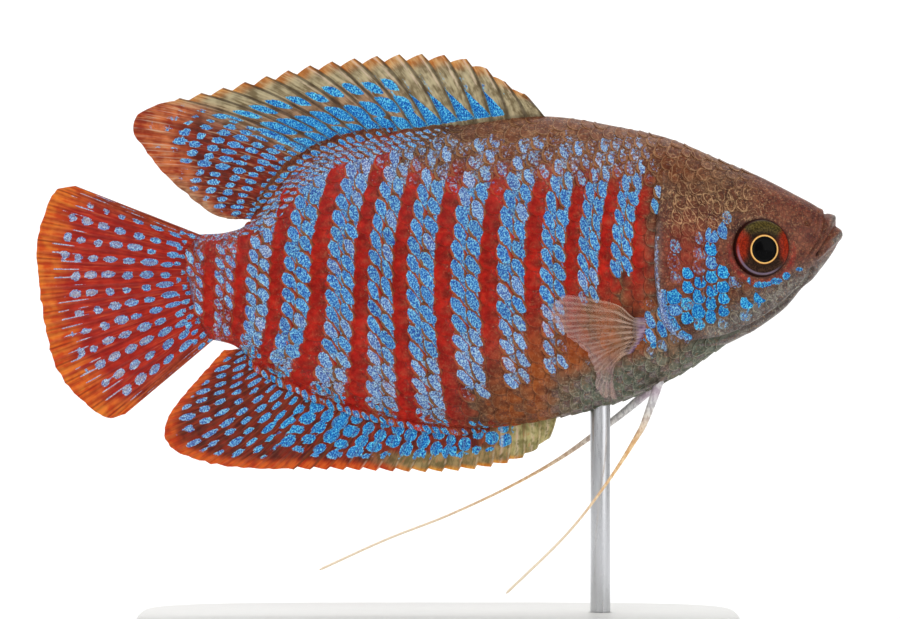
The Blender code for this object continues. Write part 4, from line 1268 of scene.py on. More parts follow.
# %% Making a fin
def make_fin(name, rays, spines, rows, lines, thick, paint, ragged, seed):
    """A rayed fin. Lines gives root, tip, bow, sway, notch and billow of each column of the grid."""
    places = {}

    def place(u, v):
        q = ray_number(u, rays, spines)
        root, tip, bow, sway, notch, billow = lines(q)
        ray = tip - root
        length = np.linalg.norm(ray, axis=1)
        w = q - np.floor(q)
        spiny = q < spines - 0.5
        short = notch * np.where(spiny, np.clip(w / 0.95, 0, 1) ** 1.25, np.sin(math.pi * w))
        quarters = np.arange(0, rays, 0.25)
        frays = np.random.default_rng(seed).normal(0, ragged, len(quarters))
        length_now = length - short + np.where(spiny, 0.0, np.interp(q, quarters, frays))
        reach = v * (length_now + FIN_SINK) - FIN_SINK
        part = reach / length
        ahead = ray / length[:, None]
        across = np.column_stack([-ahead[:, 1], ahead[:, 0]])
        bend = 4 * np.clip(part, 0, 1) * (1 - np.clip(part, 0, 1)) * bow * length
        flat = root + ahead * reach[:, None] + across * bend[:, None]
        part = np.clip(part, 0, 1)
        places.update(q=q, w=w, part=part, length=length, flat=flat, end=length_now - reach)
        return np.column_stack([flat[:, 0], sway * part**2 + billow * part, flat[:, 1]])

    fin = laid_grid(name, (rays - 1) * GAP_COLUMNS, rows, place)[0]
    q, part = places["q"], places["part"]
    near_root = lines(np.clip(np.floor(q), 0, rays - 2))
    next_root = lines(np.clip(np.floor(q) + 1, 1, rays - 1))
    root_gap = np.linalg.norm(next_root[0] - near_root[0], axis=1)
    tip_gap = np.linalg.norm(next_root[1] - near_root[1], axis=1)
    gap_width = root_gap + (tip_gap - root_gap) * part
    half, ray = ray_thickness(q, part, gap_width, spines, *thick)
    zones, marks = paint(ray=ray, gap_width=gap_width, **places)
    layer(fin, "zones", zones)
    layer(fin, "marks", marks)
    return thicken(fin, q / rays, part, half)


def thicken(fin, ray_share, part, half):
    """Gives a sheet its thickness, a map along its rays, and a bake map with both faces apart."""
    loops = np.empty(len(fin.data.loops), int)
    fin.data.loops.foreach_get("vertex_index", loops)
    fin.data.uv_layers[0].name = "OFBake"
    along_rays = fin.data.uv_layers.new(name="rays")
    along_rays.data.foreach_set("uv", np.column_stack([ray_share, part])[loops].ravel())
    group = fin.vertex_groups.new(name="thickness")
    for corner, weight in enumerate(half / MOST_HALF_THICKNESS):
        group.add([corner], float(weight), "REPLACE")
    only(fin)
    solid = fin.modifiers.new("thickness", "SOLIDIFY")
    solid.thickness = 2 * MOST_HALF_THICKNESS * MM
    solid.offset = 0.0
    solid.vertex_group = "thickness"
    bpy.ops.object.modifier_apply(modifier="thickness")
    face_out(fin)
    mesh = fin.data
    normals = np.empty(3 * len(mesh.polygons))
    mesh.polygons.foreach_get("normal", normals)
    totals = np.empty(len(mesh.polygons), int)
    mesh.polygons.foreach_get("loop_total", totals)
    left = np.repeat(normals.reshape(-1, 3)[:, 1] > 0, totals)
    bake = mesh.uv_layers["OFBake"]
    flat = np.empty(2 * len(mesh.loops))
    bake.data.foreach_get("uv", flat)
    flat = flat.reshape(-1, 2)
    flat[:, 1] = 0.01 + 0.48 * flat[:, 1] + 0.5 * left
    bake.data.foreach_set("uv", flat.ravel())
    return fin


print("fins can be made")

# %% [markdown]
# All fins share one kind of finish. Two colours each are mixed for the film, for its deeper parts, for
# a corner and for the edge. Streaks run along the rays, and blue, the rays themselves and pale lines
# lie over them. A clear fin also gets its opacity from its rays and from the way to its root.


# %% Finish of a fin
def fin_finish(name, rays, tones, alpha=None):
    """Tones holds two colours each for film, deep, corner and edge, and one for streak and for ray."""
    made, recipe, shader = new_finish(name, 0.42, Coat_Weight=0.06, Coat_Roughness=0.25,
                                      Specular_IOR_Level=0.15)
    edge, deep, corner = recipe.split(recipe.attribute("zones")["Color"])
    marks = recipe.attribute("marks")
    blue, violet, ray = recipe.split(marks["Color"])
    lines = recipe.node("ShaderNodeUVMap", uv_map="rays").outputs[0]
    stretched = recipe.vectors("MULTIPLY", lines, (5.0 * rays, 5.0, 1.0))[0]
    streak = recipe.node("ShaderNodeTexNoise", {"Vector": stretched, "Scale": 1.0, "Detail": 2.5,
                                                "Roughness": 0.6}).outputs[0]
    clouds = recipe.scaled(recipe.noise((0.9, 0.9, 0.9), 2.0), 0.5, recipe.times(streak, 0.5))
    blotch = recipe.ramp(clouds, 0.38, 0.62)
    colour = recipe.mix(blotch, *tones["film"])
    for word, mask in (("deep", deep), ("corner", corner), ("edge", edge)):
        colour = recipe.mix(mask, colour, recipe.mix(blotch, *tones[word]))
    colour = recipe.mix(recipe.ramp(streak, 0.54, 0.7, 0.0, 0.45), colour, tones["streak"])
    combed = recipe.times(blue, recipe.scaled(streak, 1.7, 0.15))
    glints = grouped(recipe, GLINTS, Amount=combed, Violet=violet)
    colour = recipe.mix(glints["Cover"], colour, glints["Color"])
    colour = recipe.mix(recipe.times(ray, 0.8), colour, tones["ray"])
    # The fourth mark gives pale lines; on the clear fins it also holds a painted highlight at the root
    pale = recipe.times(recipe.ramp(marks["Alpha"], 0.2, 0.6), recipe.ramp(streak, 0.35, 0.55))
    colour = recipe.mix(recipe.times(pale, 0.7), colour, tone(222, 196, 172))
    height = recipe.scaled(streak, 0.6, recipe.times(glints["Cover"], 0.3))
    feed(recipe, shader, Base_Color=colour, Normal=bump(recipe, height, 0.4, 0.05))
    if alpha:
        along_ray = recipe.split(lines)[1]
        by_ray = recipe.ramp(ray, 0.1, 0.8, alpha[0], alpha[1])
        shown = recipe.scaled(ray, recipe.ramp(along_ray, 0.45, 0.2, 0.0, 0.4), by_ray)
        shown = recipe.most(shown, recipe.ramp(along_ray, 0.2, 0.11), clamp=True)
        feed(recipe, shader, Alpha=shown)
    return made


print("fin finish ready")

# %% [markdown]
# Fins are marked by patches that fill the space between two rays, and by rows of small ovals that run
# along the rays. Both are worked out from the ray number and the way along the ray.

# %% Patches and dots
TIER_MIDDLE, TIER_SLANT = 0.52, 0.06


def tiers(part, w, patches):
    """Patches between two rays: each one's place along them, half its length and half its breadth."""
    cover = np.zeros_like(part)
    for centre, half, w_half in patches:
        across = np.abs((w - TIER_MIDDLE) / w_half) ** 3
        reach = np.abs((part - centre - TIER_SLANT * (w - 0.5)) / half) ** 3 + across
        cover = np.maximum(cover, step(reach, 2.0, 0.4))
    return cover


def scattered(first, second):
    """A number from 0 to 1 that differs from dot to dot."""
    return np.mod(np.abs(np.sin(12.9898 * first + 78.233 * second)) * 437.5453, 1.0)


def dots(reach, q, period, pitch, long_half, broad_half, phase=0.5, shift=0.0):
    """Rows of ovals along the rays, no two quite alike."""
    lane = q / pitch + 0.5
    number = np.floor(lane)
    turn = reach / period + phase * number + shift
    count = np.floor(turn)
    first, second = scattered(number, count), scattered(number + 31, count + 7)
    across = (lane - number - 0.5 + 0.14 * (first - 0.5)) / (broad_half * (0.75 + 0.4 * second))
    length = (turn - count - 0.5 + 0.2 * (second - 0.5)) / (long_half * (0.7 + 0.5 * first))
    return step(across**2 + length**2, 1.35, 0.7) * (0.72 + 0.28 * first)


print("patches and dots ready")

# %% [markdown]
# ## Dorsal fin
# Seventeen spines make the front and most of the length of the dorsal fin, and nine soft rays its rear
# lobe. The film is tan with a golden edge, and has two or three tiers of bright blue patches between
# the spines. The soft part is dark red with arcs of small blue dots.

# %% Dorsal fin
DORSAL_FRONT, DORSAL_REAR, DORSAL_EASE = 10.5, -18.7, 0.55
DORSAL_MARGIN = [
    (8.5, 54.7), (6.7, 56.0), (2.9, 58.3), (-3.2, 58.8), (-12.0, 57.8), (-21.4, 55.4), (-28.0, 53.8),
    (-30.1, 52.7), (-30.6, 51.3), (-29.5, 49.4), (-27.0, 46.4), (-22.8, 42.9), (-20.4, 42.3),
]
DORSAL_RAYS, DORSAL_SPINES, DORSAL_WAVES, DORSAL_NOTCH = 26, 17, 1.6, 0.85


def dorsal_lines(q):
    share = q / (DORSAL_RAYS - 1)
    x = DORSAL_FRONT + (DORSAL_REAR - DORSAL_FRONT) * fan_out(share, DORSAL_EASE)
    root = np.column_stack([x, smooth(BACK, x)])
    sway = FIN_SWAY * np.sin(2 * math.pi * DORSAL_WAVES * share)
    billow = 0.1 * np.sin(math.pi * (q - np.floor(q)))
    notch = np.where(q < DORSAL_SPINES - 0.5, DORSAL_NOTCH, 0.1)
    return root, along(DORSAL_MARGIN, share), -FIN_BOW, sway, notch, billow


def paint_dorsal(q, w, part, length, end, ray, **_):
    reach = part * length
    soft = step(q, 15.0, 18.5)
    edge = step(end, 1.5, 0.2) * step(part, 0.3, 0.6) * step(q, 22.5, 20.0)
    edge *= 1 - 0.35 * np.sin(math.pi * w)
    corner = step(q, 15.4, 17.4) * (1 - 0.5 * step(q, 20.8, 22.4)) * step(part, 0.62, 0.84)
    edge *= 1 - corner
    deep = np.maximum(soft * step(part, 1.0, 0.7), 0.4 * step(part, 0.1, 0.0) * step(q, 9.0, 12.0))
    deep = np.maximum(deep, 0.45 * step(q, 6.0, 9.0) * step(part, 0.75, 0.5))
    front = step(0.08 + 0.4 * w - part, -0.03, 0.05) * step(part, 0.02, 0.06)
    front *= step(q, 8.6, 7.4) * step(q, 1.6, 2.8)
    shift = 0.05 * (scattered(np.floor(q), 3.0) - 0.5)
    patches = (0.12 + shift, 0.08, 0.46), (0.34 - shift, 0.095, 0.45), (0.59 + shift, 0.08, 0.32)
    uneven = 0.8 + 0.3 * scattered(np.floor(q), 5.0 + np.round(3 * part))
    middle = tiers(part, w, patches) * step(q, 6.9, 7.6) * step(q, 17.2, 16.0) * uneven
    middle *= 1 - 0.25 * step(part, 0.44, 0.5)
    rear = dots(reach, q - 0.5, 1.75, 0.62, 0.34, 0.4, 0.06) * step(q, 15.5, 17.0) * step(end, 0.4, 1.2)
    rear *= step(part, 0.03, 0.1) * (1 - 0.6 * corner)
    blue = np.maximum(np.maximum(front, middle), 0.9 * rear)
    pale = 0.36 * step(w, 0.45, 0.8) * step(part, 0.35, 0.5) * step(end, 1.0, 2.0) * step(q, 11.0, 8.0)
    blue = np.maximum(blue, pale)
    spine = q < DORSAL_SPINES - 0.5
    dark = ray * np.where(spine, 0.9, 0.35) * (1 - 0.5 * blue)
    # Painted shade: the film is darkened at the very foot of the fin, where it meets the back
    dark = np.maximum(dark, 0.5 * step(part, 0.05, 0.0))
    violet = 0.05 + 0.25 * soft + 0.3 * step(q, 18.0, 22.0) * step(part, 0.5, 0.9)
    lines = bump_of(w, 0.2, 0.1) + 0.8 * bump_of(w, 0.46, 0.06) + 0.7 * bump_of(w, 0.68, 0.05)
    light = 0.55 * lines * step(part, 0.3, 0.6) * step(q, 15.0, 10.0) * spine * (1 - blue)
    light = np.maximum(light, 0.5 * corner * bump_of(np.mod(2.6 * q, 1), 0.5, 0.15))
    return np.column_stack([edge, deep, corner]), np.column_stack([blue, violet, dark, light])


DORSAL_THICK = ((0.34, 0.17), (0.26, 0.12), (0.13, 0.07))
dorsal = make_fin("dorsal", DORSAL_RAYS, DORSAL_SPINES, 46, dorsal_lines, DORSAL_THICK, paint_dorsal,
                  0.06, 21)
dorsal_tones = {
    "film": (tone(118, 102, 72), tone(186, 172, 136)), "deep": (tone(86, 22, 8), tone(140, 42, 20)),
    "corner": (tone(150, 46, 18), tone(206, 112, 62)), "edge": (tone(190, 104, 30), tone(222, 152, 72)),
    "streak": tone(196, 176, 138), "ray": tone(50, 32, 22),
}
finish_piece(dorsal, fin_finish("dorsal_film", DORSAL_RAYS, dorsal_tones), "fins", "dorsal_fin")

# %% [markdown]
# ## Anal fin
# The anal fin mirrors the dorsal fin below. Its first spines stand in an olive film, the long rear part
# is dark red with big blue patches at the base, and its lower edge is orange.

# %% Anal fin
ANAL_FRONT, ANAL_REAR, ANAL_EASE = 11.8, -20.1, 0.6
ANAL_MARGIN = [
    (11.1, 20.4), (8.8, 18.6), (5.1, 17.5), (-0.6, 17.0), (-9.0, 17.2), (-20.5, 17.5), (-25.7, 18.8),
    (-27.2, 20.1), (-27.4, 21.2), (-26.6, 23.2), (-23.1, 27.4), (-21.4, 29.2),
]
ANAL_RAYS, ANAL_SPINES, ANAL_WAVES, ANAL_NOTCH = 32, 17, 1.3, 0.4


def anal_lines(q):
    share = q / (ANAL_RAYS - 1)
    x = ANAL_FRONT + (ANAL_REAR - ANAL_FRONT) * fan_out(share, ANAL_EASE)
    root = np.column_stack([x, smooth(BELLY, x)])
    sway = FIN_SWAY * np.sin(2 * math.pi * ANAL_WAVES * share)
    billow = 0.06 * np.sin(math.pi * (q - np.floor(q)))
    notch = np.where(q < ANAL_SPINES - 0.5, ANAL_NOTCH, 0.08)
    return root, along(ANAL_MARGIN, share), FIN_BOW, sway, notch, billow


def paint_anal(q, w, part, length, flat, end, ray, **_):
    x = flat[:, 0]
    reach = part * length
    broad = np.interp(x, [-15.0, -2.0], [1.9, 0.45])
    edge = step(end, broad, 0.3 * broad) * step(x, 9.5, 7.0)
    olive = step(x, 3.5, 8.5)
    olive = np.maximum(olive, 0.6 * step(end, 2.3, 1.5) * step(x, -9.0, -2.0))
    from_front = ANAL_FRONT - anal_lines(q)[0][:, 0]
    deepest = np.interp(x, [-15.0, -8.0, 0.0, 4.0, 8.0], [6.6, 6.0, 4.4, 3.0, 1.8])
    near = dots(reach + 0.3, from_front, 1.5, 1.3, 0.47, 0.46, 0.31, 0.1)
    near *= step(reach, deepest, deepest - 0.7)
    near *= step(x, 8.2, 6.8) * step(q, 20.5, 18.5) * step(end, 0.9, 1.9)
    far = dots(reach, q - 0.5, 1.9, 0.95, 0.4, 0.3, 0.37) * step(q, 17.5, 19.5) * step(end, 0.7, 1.7)
    blue = np.maximum(near, 0.92 * far)
    dark = ray * np.where(q < ANAL_SPINES - 0.5, 0.9, 0.45) * (1 - 0.75 * blue)
    dark *= np.where(q < ANAL_SPINES, 1, 0.8)
    golden_ray = ray * step(end, 3.4, 1.6) * step(x, -13.0, -8.0) * (1 - blue)
    dark *= 1 - golden_ray
    light = np.maximum(0.5 * bump_of(w, 0.5, 0.2) * step(x, 3.5, 7.0), 0.4 * golden_ray)
    violet = 0.04 + 0.3 * step(q, 19.0, 24.0) + 0.3 * step(part, 0.5, 0.9)
    golden = step(x, -7.0, -1.0)
    zones = np.column_stack([edge * (1 - golden), 1 - olive, edge * golden])
    return zones, np.column_stack([blue, violet, dark, light])


ANAL_THICK = ((0.3, 0.16), (0.26, 0.12), (0.13, 0.07))
anal = make_fin("anal", ANAL_RAYS, ANAL_SPINES, 34, anal_lines, ANAL_THICK, paint_anal, 0.05, 22)
anal_tones = {
    "film": (tone(128, 120, 72), tone(188, 178, 120)), "deep": (tone(78, 22, 12), tone(136, 40, 20)),
    "corner": (tone(196, 112, 26), tone(228, 168, 74)), "edge": (tone(184, 50, 8), tone(222, 100, 30)),
    "streak": tone(166, 70, 38), "ray": tone(104, 56, 24),
}
finish_piece(anal, fin_finish("anal_film", ANAL_RAYS, anal_tones), "fins", "anal_fin")

# %% [markdown]
# ## Tail fin
# The tail fin is all soft rays that fan out from the end of the flesh. It is red with lanes of pale
# blue ovals, and its rear edge is orange with dark ray tips.

# %% Tail fin
CAUDAL_MARGIN = [
    (-36.3, 45.6), (-38.1, 45.3), (-39.0, 43.9), (-40.2, 39.9), (-39.9, 35.4), (-39.2, 31.0),
    (-38.4, 28.0), (-36.8, 25.3), (-34.5, 23.2), (-32.9, 22.4), (-31.3, 22.8),
]
CAUDAL_RAYS, CAUDAL_WAVES = 17, 1.0


def caudal_lines(q):
    share = q / (CAUDAL_RAYS - 1)
    angle = np.arcsin(0.96 * (1 - 2 * share))
    x = tail_end(angle) + SKIN_OVERRUN
    root = np.column_stack([x, section(x, angle)[1]])
    sway = FIN_SWAY * np.sin(2 * math.pi * CAUDAL_WAVES * share)
    billow = 0.05 * np.sin(math.pi * (q - np.floor(q)))
    return root, along(CAUDAL_MARGIN, share), 0.0, sway, np.full_like(q, 0.05), billow


def paint_caudal(q, part, length, end, ray, gap_width, **_):
    reach = part * length
    edge = step(end + 1.6 * (scattered(np.round(3 * q), 1.0) - 0.5), 3.6, 0.4)
    rim = step(np.abs(q - 8), 6.2, 7.6)
    slim, long = 0.33 - 0.13 * part, 0.4 - 0.12 * part
    rows = reach * (1 + 0.014 * reach) + 0.5 * np.sin(0.7 * q)
    ovals = dots(rows, q, 2.2, 1.2, long, slim, 0.0, 0.2) * step(end, 1.6, 3.4)
    ovals *= step(np.abs(q - 8), 7.6, 6.2) * step(reach, 1.4, 2.4)
    foot = dots(reach + 0.3, q + 0.3, 1.15, 1.0, 0.34, 0.36, 0.5) * step(reach, 2.6, 1.8)
    strokes = 0.7 * dots(end, q + 0.4, 4.0, 0.5, 0.4, 0.08, 0.3, 0.2)
    strokes *= step(end, 1.2, 1.8) * step(end, 5.6, 3.6)
    lined = bump_of(np.mod(q / 0.42, 1), 0.5, 0.18) * dots(reach, q, 3.1, 0.84, 0.44, 0.5, 0.3)
    strokes = np.maximum(strokes, 0.6 * rim * lined * step(end, 2.0, 4.0))
    near = np.abs(q - np.round(q))
    tips = step(near * gap_width, 0.13, 0.05) * step(end, 3.0, 2.0)
    tips *= 0.6 + 0.4 * scattered(np.round(q), 2.0)
    dark = np.maximum(0.3 * ray, 0.95 * tips)
    dark = np.maximum(dark, 0.5 * bump_of(np.mod(q / 0.5, 1), 0.5, 0.12) * step(part, 0.12, 0.3))
    dark = np.maximum(dark, 0.75 * rim * bump_of(np.mod(q / 0.42, 1), 0.0, 0.16) * step(end, 1.5, 3.5))
    blue = np.maximum(np.maximum(ovals, 0.8 * foot), strokes)
    violet = 0.36 + 0.5 * step(part, 0.25, 0.7)
    light = np.maximum(0.7 * strokes, ovals * (0.28 + 0.2 * part))
    zones = np.column_stack([edge, 1 - edge, 0.8 * rim * (1 - edge)])
    return zones, np.column_stack([blue, violet, dark, light])


CAUDAL_THICK = ((0.3, 0.15), (0.3, 0.12), (0.16, 0.06))
caudal = make_fin("caudal", CAUDAL_RAYS, 0, 60, caudal_lines, CAUDAL_THICK, paint_caudal, 0.04, 23)
caudal_tones = {
    "film": (tone(176, 52, 22), tone(206, 84, 34)), "deep": (tone(150, 22, 12), tone(182, 44, 24)),
    "corner": (tone(130, 44, 20), tone(176, 84, 44)), "edge": (tone(204, 70, 14), tone(232, 128, 40)),
    "streak": tone(206, 96, 52), "ray": tone(80, 16, 8),
}
finish_piece(caudal, fin_finish("caudal_film", CAUDAL_RAYS, caudal_tones), "fins", "caudal_fin")

# %% [markdown]
# ## Pectoral fins
# The two side fins are clear. Each leaves the flank just behind the gill cover as a short fleshy band
# and fans out to the rear, its lowest rays bending down. It is a grid like the other fins, but laid on
# curved lines that keep a set distance from the flank, and the film between its rays is half clear.

# %% Pectoral fins
PECTORAL_ROOT = [(20.8, 32.5), (20.8, 31.7), (20.2, 30.5), (19.3, 29.3)]
PECTORAL_MARGIN = [
    (12.2, 34.7), (11.2, 33.6), (11.1, 32.3), (12.6, 30.7), (14.6, 29.0), (15.5, 27.0), (15.6, 25.4),
    (16.5, 24.4), (17.6, 24.6),
]
PECTORAL_RAYS = 11
PECTORAL_OFF = [(0.0, -0.7), (0.12, 0.25), (0.35, 0.75), (0.65, 1.4), (1.0, 2.0)]
PECTORAL_DROOP_FROM, PECTORAL_DROOP, PECTORAL_LOWEST = 0.55, (-2.0, 1.5), 29.5
PECTORAL_RISE, PECTORAL_RISE_TO = 0.95, 0.5
NICK_DEPTH, NICK_TO, NICK_PART, NICK_HALF = 0.7, 0.3, 0.17, 0.11
PECTORAL_THICK = ((0.2, 0.1), (0.2, 0.08), (0.09, 0.04))


def make_pectoral(name, side):
    seen = {}

    def place(u, v):
        q = ray_number(u, PECTORAL_RAYS, 0)
        w = q - np.floor(q)
        share = q / (PECTORAL_RAYS - 1)
        root, tip = along(PECTORAL_ROOT, share), along(PECTORAL_MARGIN, share)
        droop = np.clip((share - PECTORAL_DROOP_FROM) / (1 - PECTORAL_DROOP_FROM), 0, 1)
        bend = (root + tip) / 2 + np.array(PECTORAL_DROOP) * droop[:, None]
        bend[:, 1] += PECTORAL_RISE * np.clip(1 - share / PECTORAL_RISE_TO, 0, 1)
        length = np.linalg.norm(tip - root, axis=1)
        quarters = np.arange(0, PECTORAL_RAYS, 0.25)
        frayed = np.interp(q, quarters, np.random.default_rng(31).normal(0, 0.08, len(quarters)))
        part = v * (1 - (0.16 * np.sin(math.pi * w) + frayed) / length)
        a, b, c = ((1 - part) ** 2)[:, None], (2 * part * (1 - part))[:, None], (part**2)[:, None]
        line = a * root + b * bend + c * tip
        line[:, 1] -= NICK_DEPTH * np.clip(1 - share / NICK_TO, 0, 1) * bump_of(part, NICK_PART, NICK_HALF)
        off = smooth(PECTORAL_OFF, part) + 0.13 * np.sin(math.pi * w) * part
        away = half_width_at(line[:, 0], np.maximum(line[:, 1], PECTORAL_LOWEST)) + off
        seen.update(q=q, part=part, length=length)
        return np.column_stack([line[:, 0], side * away, line[:, 1]])

    fin = laid_grid(name, (PECTORAL_RAYS - 1) * GAP_COLUMNS, 40, place)[0]
    q, part = seen["q"], seen["part"]
    half, ray = ray_thickness(q, part, 0.5 + 0.8 * part, 0, *PECTORAL_THICK)
    half = half + 0.16 * step(part, 0.24, 0.08)
    share = q / (PECTORAL_RAYS - 1)
    root_band = step(part, 0.19, 0.09)
    fleshy = np.maximum(root_band, 0.8 * step(share, 0.6, 0.85) * step(part, 0.3, 0.55))
    warm = bump_of(part, 0.45, 0.22)
    pink = step(part, 0.6, 0.95)
    layer(fin, "zones", np.column_stack([pink, warm, fleshy]))
    # Painted highlight: a pale patch on the upper end of the fleshy root band
    painted_root_highlight = 0.4 * root_band * bump_of(q, 1.5, 1.5)
    dark = 0.75 * ray * (1 - root_band)
    layer(fin, "marks", np.column_stack([0 * q, 0 * q, dark, painted_root_highlight]))
    return thicken(fin, q / PECTORAL_RAYS, part, half)


pectoral_tones = {
    "film": (tone(128, 116, 100), tone(158, 140, 124)), "deep": (tone(206, 148, 108), tone(222, 178, 140)),
    "corner": (tone(98, 64, 92), tone(172, 144, 168)), "edge": (tone(206, 150, 150), tone(224, 196, 198)),
    "streak": tone(228, 204, 194), "ray": tone(206, 172, 156),
}
clear_film = fin_finish("clear_film", PECTORAL_RAYS, pectoral_tones, alpha=(0.12, 0.25))
for word, side in SIDES.items():
    finish_piece(make_pectoral("pectoral_" + word, side), clear_film, "clear_fins", "pectoral_fin_" + word)

# %% [markdown]
# ## Pelvic feelers
# The pelvic fins of this fish are two long threads that it feels with. Each is a grid rolled to a
# tube along a curve, thicker at its root and drawn to a point at its end.

# %% Feelers
FEELERS = {
    "right": [(22.3, -0.9, 26.8), (20.8, -1.5, 22.6), (19.8, -1.9, 20.6), (16.7, -2.8, 15.9),
              (12.7, -3.9, 10.9), (6.7, -4.9, 5.1)],
    "left": [(22.9, 0.65, 26.7), (22.0, 0.9, 25.9), (18.8, 1.8, 23.1), (15.8, 2.6, 20.8),
             (11.8, 3.3, 18.0), (6.8, 4.0, 15.2), (0.8, 4.6, 12.4), (-5.3, 5.1, 10.0), (-12.1, 5.5, 6.9)],
}


def make_feeler(word):
    shares = np.linspace(0, 1, 241)
    path = along(FEELERS[word], shares)
    ahead = np.gradient(path, axis=0)
    ahead /= np.linalg.norm(ahead, axis=1)[:, None]
    first = np.cross(ahead, (0.0, 1.0, 0.0))
    first /= np.linalg.norm(first, axis=1)[:, None]
    second = np.cross(ahead, first)

    def place(u, v):
        radius = 0.13 + 0.34 * bump_of(u, 0.0, 0.27)
        from_end = np.minimum(u, 1 - u)
        radius *= np.sqrt(np.clip(1 - ((0.015 - from_end) / 0.0151) ** 2 * (from_end < 0.015), 0, 1))
        turn = 2 * math.pi * v
        middle, one, other = (np.column_stack([np.interp(u, shares, axis) for axis in grid.T])
                              for grid in (path, first, second))
        ringed = one * np.cos(turn)[:, None] + other * np.sin(turn)[:, None]
        return middle + ringed * np.maximum(radius, 0.004)[:, None]

    made, u, _ = laid_grid("feeler_" + word, 150, 14, place)
    pale_to = 0.3 if word == "right" else 0.5
    layer(made, "zones", np.column_stack([step(u, pale_to, 0.1), bump_of(u, 0.07, 0.03), u]))
    made.data.uv_layers[0].name = "OFBake"
    face_out(made, merge=0.002)
    return made


print("feelers along", ", ".join(f"{len(path)} places" for path in FEELERS.values()))

# %% Finish of the feelers
feeler_finish, recipe, shader = new_finish("feeler_skin", 0.38, Coat_Weight=0.2, Coat_Roughness=0.25)
root, blush, out = recipe.split(recipe.attribute("zones")["Color"])
grain = recipe.noise((3.0, 3.0, 1.6), 2.0, 0.6)
colour = recipe.mix(recipe.ramp(grain, 0.35, 0.65), tone(222, 168, 104), tone(248, 214, 164))
colour = recipe.mix(recipe.ramp(out, 0.35, 0.8, 0.0, 0.8), colour, tone(246, 232, 208))
silver = recipe.mix(recipe.ramp(grain, 0.4, 0.6), tone(178, 176, 178), tone(226, 226, 224))
colour = recipe.mix(root, colour, silver)
colour = recipe.mix(recipe.times(blush, 0.5), colour, tone(176, 138, 162))
feed(recipe, shader, Base_Color=colour, Normal=bump(recipe, grain, 0.3, 0.03))
for word in FEELERS:
    finish_piece(make_feeler(word), feeler_finish, "feelers", "pelvic_feeler_" + word)

# %% [markdown]
# ## Eyes
# An eye is a flattened ball set in its socket and turned a little forward. Its outer face has a raised
# gold ring round the pupil, and the iris is painted by place on that face: olive above, red at the
# sides and dark below, under a thin glossy coat.

# %% Eyes
PUPIL_X, PUPIL_Z, PUPIL_RADIUS, RING_RADIUS = 0.03, -0.14, 1.3, 1.47


def make_eye(word, side):
    bpy.ops.object.select_all(action="DESELECT")
    bpy.ops.mesh.primitive_uv_sphere_add(segments=72, ring_count=48, radius=1.0)
    eye = bpy.context.object
    eye.name = eye.data.name = "eye_ball_" + word
    ball = np.array([vertex.co[:] for vertex in eye.data.vertices])
    forward, height, out = ball[:, 0], ball[:, 1], ball[:, 2]
    p, q = EYE_RADIUS * forward, EYE_RADIUS * height
    reach = np.hypot(p - PUPIL_X, q - PUPIL_Z)
    depth = EYE_HALF_DEPTH * np.sign(out) * (1 - np.clip(np.hypot(forward, height), 0, 1) ** 4) ** 0.3
    front = out > 0
    ring = 0.1 * bump_of(reach, RING_RADIUS - 0.12, 0.12) - 0.05 * bump_of(reach, RING_RADIUS + 0.25, 0.16)
    depth += np.where(front, ring + 0.12 * step(reach, PUPIL_RADIUS, 0.0), 0)
    turn = math.radians(side * -EYE_YAW)
    away = float(half_width_at(EYE_X, EYE_Z)) + EYE_BULGE - EYE_HALF_DEPTH
    x = EYE_X + p * math.cos(turn) - side * depth * math.sin(turn)
    y = side * away + p * math.sin(turn) + side * depth * math.cos(turn)
    points = np.column_stack([x, y, EYE_Z + q])
    eye.data.vertices.foreach_set("co", (points * MM).ravel())
    loops = np.empty(len(eye.data.loops), int)
    eye.data.loops.foreach_get("vertex_index", loops)
    for old in list(eye.data.uv_layers):
        eye.data.uv_layers.remove(old)
    face_map = eye.data.uv_layers.new(name="iris")
    face_map.data.foreach_set("uv", (0.5 + np.column_stack([p, q]) / 6)[loops].ravel())
    layer(eye, "zones", np.column_stack([front.astype(float), 0 * p, 0 * p]))
    face_out(eye)
    return eye


print("eyes of", 2 * EYE_RADIUS, "mm, pupils of", 2 * PUPIL_RADIUS, "mm")

# %% Finish of the eyes
eye_finish, recipe, shader = new_finish("eye", 0.3, Coat_Weight=0.07, Coat_Roughness=0.02,
                                        Specular_IOR_Level=0.03)
iris_map = recipe.node("ShaderNodeUVMap", uv_map="iris").outputs[0]
place = recipe.vectors("MULTIPLY_ADD", iris_map, (6.0, 6.0, 0.0), (-3.0, -3.0, 0.0))[0]
p, q, _ = recipe.split(place)
from_pupil = recipe.vectors("ADD", place, (-PUPIL_X, -PUPIL_Z, 0.0))[0]
reach = recipe.vectors("LENGTH", from_pupil)["Value"]
out = recipe.vectors("LENGTH", place)["Value"]
cloud = recipe.noise((1.6, 1.6, 1.6), 3.0, 0.6)
speck = recipe.noise((6.0, 6.0, 6.0), 2.0, 0.6)
flecked = recipe.ramp(speck, 0.4, 0.62)
flat_q = recipe.maths("ABSOLUTE", recipe.plus(q, -0.25))
beside = recipe.minus(recipe.maths("ABSOLUTE", p), recipe.times(flat_q, 0.55))
side_red = recipe.ramp(recipe.scaled(cloud, 0.6, beside), 0.95, 2.0)
side_red = recipe.times(side_red, recipe.ramp(q, -2.0, -0.3, 0.35, 1.0))
red = recipe.mix(flecked, tone(118, 30, 14), tone(160, 46, 20))
olive = recipe.mix(flecked, tone(52, 44, 20), tone(94, 80, 38))
iris = recipe.mix(flecked, tone(38, 22, 16), tone(66, 44, 30))
above = recipe.ramp(recipe.scaled(cloud, 0.9, recipe.scaled(p, 0.1, q)), 1.3, 2.5)
iris = recipe.mix(above, iris, olive)
